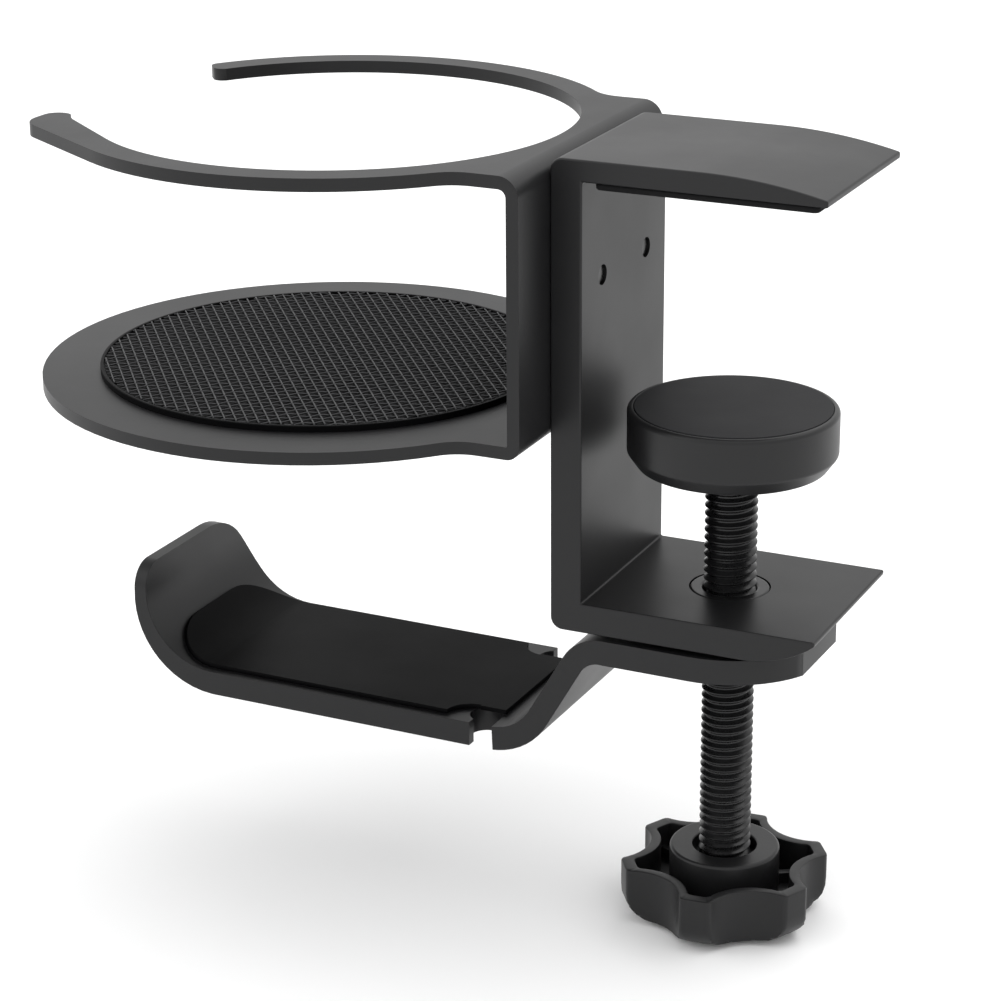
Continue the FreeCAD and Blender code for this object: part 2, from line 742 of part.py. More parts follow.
def pressure_pad():
    """Swivelling plate under the desk, with its socket cap and its face."""
    split = "sqrt(Dim.seat_round^2 - (Dim.seat_split - Dim.ball_height)^2)"
    turned_part("pressure_pad", [
        ("Dim.neck_opening", "Dim.ball_height - sqrt(Dim.seat_round^2 - Dim.neck_opening^2)"),
        ("Dim.neck_flare", "Dim.press_foot"),
        ("Dim.press_round - Dim.press_chamfer", "Dim.press_foot"),
        ("Dim.press_round", "Dim.press_foot + Dim.press_chamfer_tall"),
        ("Dim.press_round", "Dim.press_top - Dim.press_rim", "Dim.press_rim", 1),
        ("Dim.press_round - Dim.press_rim", "Dim.press_top"),
        ("Dim.recess_round", "Dim.press_top"),
        ("Dim.recess_round", "Dim.press_floor"),
        ("Dim.cap_round", "Dim.press_floor"),
        ("Dim.cap_round", "Dim.seat_split"),
        (split, "Dim.seat_split", "Dim.seat_round", -1),
    ])
    turned_part("socket_cap", [
        (split, "Dim.seat_split"),
        ("Dim.cap_round", "Dim.seat_split"),
        ("Dim.cap_round", "Dim.press_floor"),
        ("0", "Dim.press_floor"),
        ("0", "Dim.cap_roof"),
        ("Dim.cap_bore", "Dim.cap_roof"),
        ("Dim.cap_bore", "Dim.ball_height + sqrt(Dim.seat_round^2 - Dim.cap_bore^2)",
         "Dim.seat_round", -1),
    ])
    disc("pressure_pad_face", "0", "Dim.face_round", "Dim.press_floor",
         "Dim.face_top - Dim.press_floor")


def star(sketch, radius, half, scallop):
    """Six flat lobes joined by hollow scallops, one lobe centred on +X."""
    corners = []
    for step in range(LOBES):
        middle = str(TURN / LOBES * step)
        corners.append(from_centre("0", radius, "({0} - {1})".format(middle, half)))
        corners.append(from_centre("0", radius, "({0} + {1})".format(middle, half)) + (scallop, -1))
    outline(sketch, corners)


def star_knob():
    """Hollow six-lobed knob with a hub, ribs and a pocket for its nut."""
    made = body("star_knob")
    outer = sketch_on(made, "XY_Plane", "knob_outline", "Dim.knob_foot")
    star(outer, "Dim.knob_round", "Dim.lobe_half", "Dim.scallop_round")
    feature(made, "Pad", "knob_block", outer, "Dim.knob_top - Dim.knob_foot")
    inner = sketch_on(made, "XY_Plane", "knob_inside", "Dim.knob_top")
    star(inner, "Dim.hollow_round", "Dim.hollow_half", "Dim.hollow_scallop")
    feature(made, "Pocket", "knob_hollow", inner, "Dim.knob_top - Dim.knob_floor")
    belly = sketch_on(made, "XZ_Plane", "belly_profile")
    inside = "Dim.knob_round - Dim.belly_wide"
    past, rise = "Dim.knob_round + Dim.belly_wide", "Dim.knob_foot + Dim.belly_tall"
    sweep = "(Dim.belly_wide^2 + Dim.belly_tall^2) / (2 * Dim.belly_wide)"
    outline(belly, [("Dim.knob_round", rise, sweep, -1), (inside, "Dim.knob_foot"),
                    (inside, "Dim.knob_foot - Dim.belly_tall"),
                    (past, "Dim.knob_foot - Dim.belly_tall"), (past, rise)])
    turned(made, "Groove", "knob_belly", belly)
    hub = sketch_on(made, "XY_Plane", "hub_outline", "Dim.knob_floor")
    circle(hub, "0", "0", "Dim.hub_round")
    feature(made, "Pad", "knob_hub", hub, "Dim.hub_top - Dim.knob_floor")
    rib = sketch_on(made, "XY_Plane", "rib_outline", "Dim.knob_floor")
    side, start = "Dim.rib_thick / 2", "Dim.hub_recess + Dim.rib_thick"
    outline(rib, [(start, "-" + side), ("Dim.rib_reach + Dim.rib_thick", "-" + side),
                  ("Dim.rib_reach + Dim.rib_thick", side), (start, side)])
    web = feature(made, "Pad", "knob_rib", rib, "Dim.knob_top - Dim.rib_drop - Dim.knob_floor")
    around(made, "knob_ribs", web, LOBES)
    sunk = sketch_on(made, "XY_Plane", "recess_outline", "Dim.hub_top")
    circle(sunk, "0", "0", "Dim.hub_recess")
    feature(made, "Pocket", "hub_sink", sunk, "Dim.hub_recess_deep")
    bore = sketch_on(made, "XY_Plane", "bore_outline", "Dim.hub_top")
    circle(bore, "0", "0", "Dim.hub_bore")
    feature(made, "Pocket", "knob_bore", bore)
    seat = sketch_on(made, "XY_Plane", "nut_outline", "Dim.nut_top")
    hexagon(seat, "Dim.nut_flats")
    feature(made, "Pocket", "nut_pocket", seat)
    lid = sketch_on(made, "XY_Plane", "cover_outline", "Dim.knob_foot + Dim.cover_thick")
    circle(lid, "0", "0", "Dim.cover_round")
    feature(made, "Pocket", "cover_seat", lid)
    made.Placement.Rotation = FreeCAD.Rotation(FreeCAD.Vector(0, 0, 1), size("Dim.lobe_angle"))
    return made


def knob_fittings():
    """Hexagon nut that grips the screw and the cover below it."""
    floor = "Dim.knob_foot + Dim.cover_thick"
    nut = body("knob_nut")
    flats = sketch_on(nut, "XY_Plane", "nut_flats_outline", floor)
    hexagon(flats, "Dim.nut_flats")
    feature(nut, "Pad", "nut_block", flats, "Dim.nut_top - Dim.knob_foot - Dim.cover_thick")
    bore = sketch_on(nut, "XY_Plane", "nut_bore_outline", "Dim.nut_top")
    circle(bore, "0", "0", "Dim.screw_round")
    feature(nut, "Pocket", "nut_bore", bore)
    nut.Placement.Rotation = FreeCAD.Rotation(FreeCAD.Vector(0, 0, 1), size("Dim.lobe_angle"))
    disc("knob_cover", "0", "Dim.cover_round", "Dim.knob_foot", "Dim.cover_thick")


def export():
    """Check every object and write one STEP file to a body."""
    os.makedirs("parts", exist_ok=True)
    DOC.recompute()
    for item in DOC.Objects:
        if "Invalid" in item.State or "Error" in item.State:
            raise RuntimeError("%s is in state %s" % (item.Label, item.State))
    for item in DOC.Objects:
        if item.TypeId != "PartDesign::Body":
            continue
        shape = item.Shape
        if shape.isNull() or not shape.isValid() or len(shape.Solids) != 1:
            raise RuntimeError("%s has no single valid solid" % item.Label)
        shape.exportStep("parts/%s.step" % item.Label)
        print("%-22s %9.1f mm3" % (item.Label, shape.Volume))


def main():
    """Build every sub-part and export it."""
    clamp_frame()
    upper_jaw_pad()
    cup_bracket()
    bracket_screw("bracket_screw_near", "-")
    bracket_screw("bracket_screw_away", "")
    mats()
    swivel_parts()
    headphone_hook()
    hook_pad()
    screw_and_ball()
    pressure_pad()
    star_knob()
    knob_fittings()
    export()


if __name__ == "__main__":
    main()
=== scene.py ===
"""Looks of a desk clamp with an open cup ring, a cup tray and a swivelling headphone hook.

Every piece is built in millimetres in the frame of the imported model, turned to metres,
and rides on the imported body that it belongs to.
"""

import logging
import math
from collections.abc import Callable, Iterable, Sequence
from dataclasses import dataclass
from enum import Enum

import bmesh
import bpy
from mathutils import Matrix, Vector


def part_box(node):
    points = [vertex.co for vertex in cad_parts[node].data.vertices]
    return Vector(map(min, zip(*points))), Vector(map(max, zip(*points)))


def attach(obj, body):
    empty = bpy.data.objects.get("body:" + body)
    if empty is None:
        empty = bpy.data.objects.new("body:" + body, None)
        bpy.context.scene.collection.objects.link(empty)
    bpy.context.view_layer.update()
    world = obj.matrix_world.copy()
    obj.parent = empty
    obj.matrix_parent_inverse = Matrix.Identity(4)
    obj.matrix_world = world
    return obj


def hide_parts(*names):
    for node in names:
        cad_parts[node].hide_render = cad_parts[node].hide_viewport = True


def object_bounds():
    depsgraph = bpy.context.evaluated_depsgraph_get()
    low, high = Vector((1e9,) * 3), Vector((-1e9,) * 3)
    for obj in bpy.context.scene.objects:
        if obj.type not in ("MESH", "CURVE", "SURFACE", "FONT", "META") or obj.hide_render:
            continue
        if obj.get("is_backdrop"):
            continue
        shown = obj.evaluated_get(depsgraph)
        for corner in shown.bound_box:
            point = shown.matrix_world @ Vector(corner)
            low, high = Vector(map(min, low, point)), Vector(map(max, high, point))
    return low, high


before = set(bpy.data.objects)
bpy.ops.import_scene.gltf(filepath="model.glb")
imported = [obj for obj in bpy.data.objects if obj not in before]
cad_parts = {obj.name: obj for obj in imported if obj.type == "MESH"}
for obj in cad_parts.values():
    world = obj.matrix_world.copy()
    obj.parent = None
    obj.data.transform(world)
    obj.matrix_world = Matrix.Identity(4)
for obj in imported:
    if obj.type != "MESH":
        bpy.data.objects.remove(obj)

LOG = logging.getLogger("desk_clamp")
METRE = 0.001
CLOSE = 1e-3
SHARP = math.radians(32.0)


class Plane(Enum):
    """Plane that an outline is drawn on: seen from above, or from the side along +Y."""

    PLAN = "plan"
    SIDE = "side"


class Relief(Enum):
    """Kinds of fine relief on a surface."""

    FROST = "frost"
    CELLS = "cells"


class Body(Enum):
    """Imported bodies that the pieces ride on."""

    CLAMP = "clamp"
    HOOK = "hook"
    SCREW = "screw"
    PLATE = "pressure_plate"


# ---------------------------------------------------------------- finishes


def linear(hex_colour: str) -> tuple[float, float, float, float]:
    """Turn an sRGB hex colour to linear.

    Args:
        hex_colour: Six hexadecimal digits with a leading hash.

    Returns:
        Linear red, green, blue and an alpha of 1.
    """
    channels = [int(hex_colour[i:i + 2], 16) / 255 for i in (1, 3, 5)]
    bent = [c / 12.92 if c <= 0.04045 else ((c + 0.055) / 1.055) ** 2.4 for c in channels]
    return bent[0], bent[1], bent[2], 1.0


def add_node(
    tree: bpy.types.NodeTree,
    kind: str,
    settings: dict[str, object] | None = None,
    inputs: dict[str, object] | None = None,
) -> bpy.types.Node:
    """Add a shader node with its settings, socket values and links.

    Args:
        tree: Node tree of the material.
        kind: Blender's name for the node's type.
        settings: Attributes of the node.
        inputs: Socket values by name; an output socket as a value makes a link.

    Returns:
        The new node.
    """
    node = tree.nodes.new(kind)
    for name, value in (settings or {}).items():
        setattr(node, name, value)
    for name, value in (inputs or {}).items():
        if isinstance(value, bpy.types.NodeSocket):
            tree.links.new(value, node.inputs[name])
        else:
            node.inputs[name].default_value = value
    return node


@dataclass(frozen=True)
class Finish:
    """A surface as it was made: its colour, slow mottling and fine relief.

    Attributes:
        title: Name of the material.
        dark: Colour of the low spots, as sRGB hex.
        light: Colour of the high spots, as sRGB hex.
        roughness: Mean roughness.
        spread: How far the roughness wanders either way.
        grain_mm: Size of the fine relief.
        relief_mm: Depth of the fine relief.
        mottle_mm: Size of the slow change of colour and sheen.
        stretch: How much longer the grain is along X, Y and Z.
        metallic: 1 for bare metal, 0 for a dyed, painted or moulded surface.
        sheen: Weight of the soft glow of a velvety surface.
        ior: Index of refraction of the outer layer.
        gloss: Specular level, under a half where the fine blasting breaks up the shine.
        relief: Kind of fine relief.
    """

    title: str
    dark: str
    light: str
    roughness: float
    spread: float
    grain_mm: float
    relief_mm: float
    mottle_mm: float = 18.0
    stretch: tuple[float, float, float] = (1.0, 1.0, 1.0)
    metallic: float = 0.0
    sheen: float = 0.0
    ior: float = 1.5
    gloss: float = 0.3
    relief: Relief = Relief.FROST

    def material(self) -> bpy.types.Material:
        """Material of this finish, built the first time it is asked for.

        Returns:
            The material.
        """
        known = bpy.data.materials.get(self.title)
        if known:
            return known
        made = bpy.data.materials.new(self.title)
        made.use_nodes = True
        tree = made.node_tree
        tree.nodes.clear()
        place = add_node(tree, "ShaderNodeTexCoord").outputs["Object"]
        height = self.height(tree, place)
        mottle = add_node(tree, "ShaderNodeTexNoise", None, {
            "Vector": place, "Scale": 1 / (self.mottle_mm * METRE), "Detail": 4.0,
            "Roughness": 0.55}).outputs["Fac"]
        summed = add_node(tree, "ShaderNodeMath", {"operation": "ADD"}, {0: height, 1: mottle})
        half = add_node(tree, "ShaderNodeMath", {"operation": "MULTIPLY"},
                        {0: summed.outputs[0], 1: 0.5})
        colour = add_node(tree, "ShaderNodeMix", {"data_type": "RGBA"}, {
            0: half.outputs[0], 6: linear(self.dark), 7: linear(self.light)})
        rough = add_node(tree, "ShaderNodeMapRange", None, {
            "Value": mottle, "From Min": 0.3, "From Max": 0.7,
            "To Min": self.roughness - self.spread, "To Max": self.roughness + self.spread})
        bump = add_node(tree, "ShaderNodeBump", None, {
            "Height": height, "Strength": 1.0, "Distance": self.relief_mm * METRE})
        shader = add_node(tree, "ShaderNodeBsdfPrincipled", None, {
            "Base Color": colour.outputs[2], "Roughness": rough.outputs["Result"],
            "Metallic": self.metallic, "IOR": self.ior, "Sheen Weight": self.sheen,
            "Specular IOR Level": self.gloss,
            "Normal": bump.outputs["Normal"]})
        add_node(tree, "ShaderNodeOutputMaterial", None, {"Surface": shader.outputs["BSDF"]})
        return made

    def height(
        self, tree: bpy.types.NodeTree, place: bpy.types.NodeSocket
    ) -> bpy.types.NodeSocket:
        """Fine relief of the surface.

        Args:
            tree: Node tree of the material.
            place: Socket with the object coordinates.

        Returns:
            Socket with a height from 0 to 1.
        """
        drawn = add_node(tree, "ShaderNodeMapping", None, {
            "Vector": place, "Scale": tuple(1 / length for length in self.stretch)})
        fine = 1 / (self.grain_mm * METRE)
        if self.relief is Relief.CELLS:
            return add_node(tree, "ShaderNodeTexVoronoi", {"feature": "SMOOTH_F1"}, {
                "Vector": drawn.outputs["Vector"], "Scale": fine,
                "Smoothness": 0.4}).outputs["Distance"]
        return add_node(tree, "ShaderNodeTexNoise", None, {
            "Vector": drawn.outputs["Vector"], "Scale": fine, "Detail": 3.0,
            "Roughness": 0.6}).outputs["Fac"]


# Bead-blasted aluminium, anodised and dyed black. The dye sits in a clear hard skin, so it
# shines softly like a varnish, with a frosted grain drawn out a little along the extrusion.
EXTRUDED_ANODISED = Finish("extruded aluminium, blasted and anodised black", "#131314", "#19191a",
                           0.40, 0.03, 0.35, 0.003, stretch=(1.0, 3.0, 1.0))
# The same skin on flat bar, whose grain runs along the bar.
BAR_ANODISED = Finish("aluminium bar, blasted and anodised black", "#131314", "#19191a",
                      0.42, 0.03, 0.35, 0.003, stretch=(3.0, 1.0, 1.0))
# Fine polyester powder baked on sheet steel: even, with a slow orange peel.
POWDER_COAT = Finish("steel sheet, powder coated", "#141415", "#1a1a1b",
                     0.43, 0.03, 0.6, 0.005, mottle_mm=25.0)
# Black oxide on cut threads is thin, and the crests wear back towards bare steel.
BLACK_OXIDE = Finish("steel thread, black oxide", "#101011", "#1e1e1f",
                     0.28, 0.05, 0.25, 0.003, mottle_mm=4.0, metallic=0.3, gloss=0.5)
# Turned and blackened steel keeps a trace of the tool's rings.
TURNED_STEEL = Finish("turned steel, blackened", "#19191a", "#262627",
                      0.32, 0.05, 0.3, 0.003, mottle_mm=6.0, metallic=0.5, gloss=0.4)
# Closed-cell foam: matt, with fine cells cut open at the skin.
FOAM_SHEET = Finish("closed-cell foam sheet", "#0b0b0c", "#141415", 0.88, 0.04, 0.45, 0.03,
                    gloss=0.2, relief=Relief.CELLS)
# Silicone from a matt mould: dark, soft and slightly greasy.
SILICONE = Finish("silicone rubber, matt moulded", "#060607", "#0a0a0b",
                  0.5, 0.05, 0.5, 0.006, mottle_mm=30.0, ior=1.41, gloss=0.06)
# The same rubber ground flat, for the face that grips the desk.
GROUND_SILICONE = Finish("silicone rubber, ground", "#18181a", "#1f1f21",
                         0.62, 0.04, 0.5, 0.01, mottle_mm=20.0, ior=1.41, gloss=0.25)
# Glass-filled nylon from a spark-eroded mould has an even, fine leather.
MOULDED_NYLON = Finish("glass-filled nylon, moulded", "#121213", "#19191a",
                       0.40, 0.04, 0.45, 0.008, mottle_mm=10.0, ior=1.53, gloss=0.3)
# Nylon monofilament, woven in an open square net.
NET_FILAMENT = Finish("nylon monofilament, woven", "#242425", "#343436",
                      0.42, 0.04, 0.5, 0.003, mottle_mm=8.0, ior=1.53, gloss=0.3)


# ---------------------------------------------------------------- shaping


class Pen:
    """Draws one outline in a bmesh as straight runs and arcs."""

    def __init__(self, bm: bmesh.types.BMesh, plane: Plane, start: tuple[float, float]) -> None:
        """Put the pen down.

        Args:
            bm: Mesh that is drawn in, in millimetres.
            plane: Plane of the outline.
            start: First point.
        """
        self.bm = bm
        self.plane = plane
        self.first = bm.verts.new(self.at(start))
        self.tip = self.first

    def at(self, point: tuple[float, float]) -> Vector:
        """Place of a point of the outline."""
        across, up = point
        return Vector((across, up, 0.0)) if self.plane is Plane.PLAN else Vector((across, 0.0, up))

    def line(self, *points: tuple[float, float]) -> "Pen":
        """Draw straight runs through the points.

        Args:
            points: Ends of the runs, in order.

        Returns:
            This pen.
        """
        for point in points:
            vert = self.bm.verts.new(self.at(point))
            self.bm.edges.new((self.tip, vert))
            self.tip = vert
        return self

    def arc(self, centre: tuple[float, float], degrees: float, step: float = 6.0) -> "Pen":
        """Draw an arc from the tip.

        Args:
            centre: Centre of the arc.
            degrees: Angle turned, counter-clockwise if above zero.
            step: Largest angle of one piece of the arc, in degrees.

        Returns:
            The pen.
        """
        axis = (0.0, 0.0, 1.0) if self.plane is Plane.PLAN else (0.0, -1.0, 0.0)
        spun = bmesh.ops.spin(self.bm, geom=[self.tip], cent=self.at(centre), axis=axis,
                              angle=math.radians(degrees), use_duplicate=False,
                              steps=max(2, math.ceil(abs(degrees) / step)))
        self.tip = next(v for v in spun["geom_last"] if isinstance(v, bmesh.types.BMVert))
        return self

    def arc_to(
        self,
        centre: tuple[float, float],
        end: tuple[float, float],
        left: bool,
        step: float = 6.0,
    ) -> "Pen":
        """Draw an arc from the tip to a point, to the left or to the right.

        Args:
            centre: Centre of the arc.
            end: Last point of the arc.
            left: True for counter-clockwise.
            step: Largest angle of one piece of the arc, in degrees.

        Returns:
            The pen.
        """
        here = self.tip.co
        spot = (here.x, here.y if self.plane is Plane.PLAN else here.z)
        turn = (angle_of(centre, end) - angle_of(centre, spot)) % 360
        return self.arc(centre, turn if left else turn - 360, step)

    def close(self) -> bmesh.types.BMFace:
        """Join the tip to the start and fill the outline.

        Returns:
            The outline's face.
        """
        if (self.tip.co - self.first.co).length < 1e-4:
            bmesh.ops.weld_verts(self.bm, targetmap={self.tip: self.first})
        else:
            self.bm.edges.new((self.tip, self.first))
        loop = boundary_from(self.first)
        return bmesh.ops.contextual_create(self.bm, geom=loop)["faces"][0]


def boundary_from(first: bmesh.types.BMVert) -> list[bmesh.types.BMEdge]:
    """Follow the loop of loose edges that a vertex is on.

    Args:
        first: Vertex of the loop.

    Returns:
        Every edge of the loop, in order.
    """
    found: list[bmesh.types.BMEdge] = []
    vert, last = first, None
    while True:
        step = next(e for e in vert.link_edges if e is not last)
        found.append(step)
        vert, last = step.other_vert(vert), step
        if vert is first:
            return found


def polar(centre: tuple[float, float], radius: float, degrees: float) -> tuple[float, float]:
    """Point at a distance and an angle from a centre."""
    angle = math.radians(degrees)
    return centre[0] + radius * math.cos(angle), centre[1] + radius * math.sin(angle)


def angle_of(centre: tuple[float, float], point: tuple[float, float]) -> float:
    """Direction of a point from a centre, in degrees."""
    return math.degrees(math.atan2(point[1] - centre[1], point[0] - centre[0]))


def round_corners(
    bm: bmesh.types.BMesh,
    corners: Iterable[tuple[tuple[float, float], float]],
    plane: Plane,
    step: float = 8.0,
) -> None:
    """Round corners of a filled outline.

    Args:
        bm: Mesh with the outline's face.
        corners: Place and radius of each corner.
        plane: Plane of the outline.
        step: Largest turn from one point of a rounding to the next, in degrees.
    """
    for (across, up), radius in corners:
        spot = Vector((across, up, 0)) if plane is Plane.PLAN else Vector((across, 0, up))
        vert = min(bm.verts, key=lambda v: (v.co - spot).length)
        corner = vert.co.copy()
        first, second = [(e.other_vert(vert).co - corner).normalized() for e in vert.link_edges]
        turn = math.pi - first.angle(second)
        middle = corner + (first + second).normalized() * radius / math.cos(turn / 2)
        cut = bmesh.ops.bevel(bm, geom=[vert], offset=radius * math.tan(turn / 2),
                              segments=max(3, math.ceil(math.degrees(turn) / step)),
                              profile=0.5, affect="VERTICES", offset_type="OFFSET",
                              material=-1)
        for made in cut["verts"]:
            made.co = middle + (made.co - middle).normalized() * radius


def thicken(bm: bmesh.types.BMesh, faces: Sequence[bmesh.types.BMFace], by: Vector) -> None:
    """Extrude faces into a solid.

    Args:
        bm: Mesh with the faces.
        faces: Faces of the outline.
        by: Way and distance of the extrusion.
    """
    made = bmesh.ops.extrude_face_region(bm, geom=list(faces), use_keep_orig=True)
    verts = [item for item in made["geom"] if isinstance(item, bmesh.types.BMVert)]
    bmesh.ops.translate(bm, verts=verts, vec=by)
    bmesh.ops.recalc_face_normals(bm, faces=bm.faces)


def ease_edges(
    bm: bmesh.types.BMesh,
    width: float,
    segments: int = 3,
    chosen: Callable[[bmesh.types.BMEdge], bool] = lambda edge: True,
    above: float = 40.0,
) -> None:
    """Round the sharp edges.

    Args:
        bm: Closed mesh.
        width: Width of the rounding in millimetres.
        segments: Steps across the rounding.
        chosen: Test that an edge has to pass as well.
        above: Smallest angle of a sharp edge, in degrees.
    """
    limit = math.radians(above)
    sharp = [e for e in bm.edges if len(e.link_faces) == 2
             and e.calc_face_angle(0.0) > limit and chosen(e)]
    if sharp:
        bmesh.ops.bevel(bm, geom=sharp, offset=width, segments=segments, profile=0.5,
                        affect="EDGES", offset_type="OFFSET", material=-1, clamp_overlap=True)


def fill_with_hole(
    bm: bmesh.types.BMesh, face: bmesh.types.BMFace, loops: Sequence[Sequence[bmesh.types.BMEdge]]
) -> None:
    """Replace a flat face by one with holes.

    Args:
        bm: Mesh.
        face: Flat face.
        loops: Edges of each hole, in the plane of the face.
    """
    edges = list(face.edges) + [e for loop in loops for e in loop]
    normal = face.normal.copy()
    bmesh.ops.delete(bm, geom=[face], context="FACES_ONLY")
    bmesh.ops.triangle_fill(bm, use_beauty=True, use_dissolve=False, edges=edges, normal=normal)


def circle_edges(
    bm: bmesh.types.BMesh, centre: Vector, radius: float, axis: str = "Z", steps: int = 48
) -> list[bmesh.types.BMEdge]:
    """Draw a circle of loose edges.

    Args:
        bm: Mesh that receives it.
        centre: Its centre.
        radius: Its radius.
        axis: Axis that it stands across, "X", "Y" or "Z".
        steps: How many edges it has.

    Returns:
        The edges of the circle.
    """
    turn = {"Z": Matrix.Identity(4), "X": Matrix.Rotation(math.pi / 2, 4, "Y"),
            "Y": Matrix.Rotation(math.pi / 2, 4, "X")}[axis]
    made = bmesh.ops.create_circle(bm, segments=steps, radius=radius,
                                   matrix=Matrix.Translation(centre) @ turn)
    return list({e for v in made["verts"] for e in v.link_edges})


def drill(
    bm: bmesh.types.BMesh,
    axis: str,
    centres: Sequence[Vector],
    radius: float,
    levels: tuple[float, float],
    steps: int = 48,
) -> None:
    """Bore round holes between two flat faces of a solid.

    Args:
        bm: Closed mesh.
        axis: Direction of the holes.
        centres: Centre of each hole; the value along the axis is ignored.
        radius: Radius of the holes.
        levels: Places of the two faces along the axis.
        steps: Sides of each hole.
    """
    index = "XYZ".index(axis)
    rings: list[list[list[bmesh.types.BMEdge]]] = []
    for level in levels:
        bm.faces.ensure_lookup_table()
        face = max((f for f in bm.faces if abs(abs(f.normal[index]) - 1) < 1e-3
                    and abs(f.calc_center_median()[index] - level) < 1e-3),
                   key=lambda f: f.calc_area())
        loops = []
        for centre in centres:
            spot = centre.copy()
            spot[index] = level
            loops.append(circle_edges(bm, spot, radius, axis, steps))
        fill_with_hole(bm, face, loops)
        rings.append(loops)
    for near, away in zip(*rings):
        bmesh.ops.bridge_loops(bm, edges=near + away)


def lathe(
    bm: bmesh.types.BMesh,
    points: Sequence[tuple[float, float]],
    steps: int = 96,
    rounding: Iterable[tuple[tuple[float, float], float]] = (),
) -> None:
    """Turn a closed profile about the Z axis.

    Args:
        bm: Mesh that receives the solid.
        points: Corners of the profile as radius and height.
        steps: Sides of the solid.
        rounding: Corners to round, each with its radius.
    """
    part = bmesh.new()
    pen = Pen(part, Plane.SIDE, points[0])
    pen.line(*points[1:])
    pen.close()
    round_corners(part, rounding, Plane.SIDE)
    bmesh.ops.delete(part, geom=part.faces[:], context="FACES_ONLY")
    on_axis = [e for e in part.edges if all(abs(v.co.x) < 1e-6 for v in e.verts)]
    bmesh.ops.delete(part, geom=on_axis, context="EDGES")
    bmesh.ops.spin(part, geom=part.verts[:] + part.edges[:], cent=(0, 0, 0), axis=(0, 0, 1),
                   angle=2 * math.pi, steps=steps, use_merge=True, use_duplicate=False)
    bmesh.ops.remove_doubles(part, verts=part.verts, dist=1e-4)
    bmesh.ops.recalc_face_normals(part, faces=part.faces)
    join(bm, part)


def join(bm: bmesh.types.BMesh, part: bmesh.types.BMesh) -> None:
    """Add one mesh to another and free it.

    Args:
        bm: Mesh that receives the other.
        part: Mesh that is added.
    """
    spare = bpy.data.meshes.new("spare")
    part.to_mesh(spare)
    part.free()
    bm.from_mesh(spare)
    bpy.data.meshes.remove(spare)


def finish_piece(
    name: str,
    bm: bmesh.types.BMesh,
    body: Body,
    finish: Finish,
    stands_for: Sequence[str] = (),
    sharp: float = SHARP,
) -> bpy.types.Object:
    """Turn a mesh in millimetres to a piece that rides on its body.

    Args:
        name: Name of the piece.
        bm: Its mesh, which is freed.
        body: Body that it rides on.
        finish: Its surface.
        stands_for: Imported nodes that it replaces.
        sharp: Angle above which an edge stays sharp, in radians.

    Returns:
        The piece.
    """
    open_edges = sum(1 for e in bm.edges if len(e.link_faces) != 2)
    bmesh.ops.scale(bm, vec=(METRE, METRE, METRE), verts=bm.verts)
    mesh = bpy.data.meshes.new(name)
    bm.to_mesh(mesh)
    bm.free()
    mesh.shade_smooth()
    mesh.set_sharp_from_angle(angle=sharp)
    piece = bpy.data.objects.new(name, mesh)
    bpy.context.scene.collection.objects.link(piece)
    weighted = piece.modifiers.new("weighted normals", "WEIGHTED_NORMAL")
    weighted.keep_sharp = True
    mesh.materials.append(finish.material())
    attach(piece, body.value)
    if stands_for:
        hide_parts(*stands_for)
    LOG.info("%s: %d faces, %d open edges", name, len(mesh.polygons), open_edges)
    return piece


@dataclass(frozen=True)
class Run:
    """One straight (degrees 0) or bent stretch of a strip's reference face.

    Attributes:
        length: Length of a straight stretch.
        radius: Radius of a bend on the reference face.
        degrees: Angle of a bend, counter-clockwise seen with +X right and +Z up.
    """

    length: float = 0.0
    radius: float = 0.0
    degrees: float = 0.0

    @property
    def extent(self) -> float:
        """Length along the reference face."""
        return self.length or abs(math.radians(self.degrees)) * self.radius


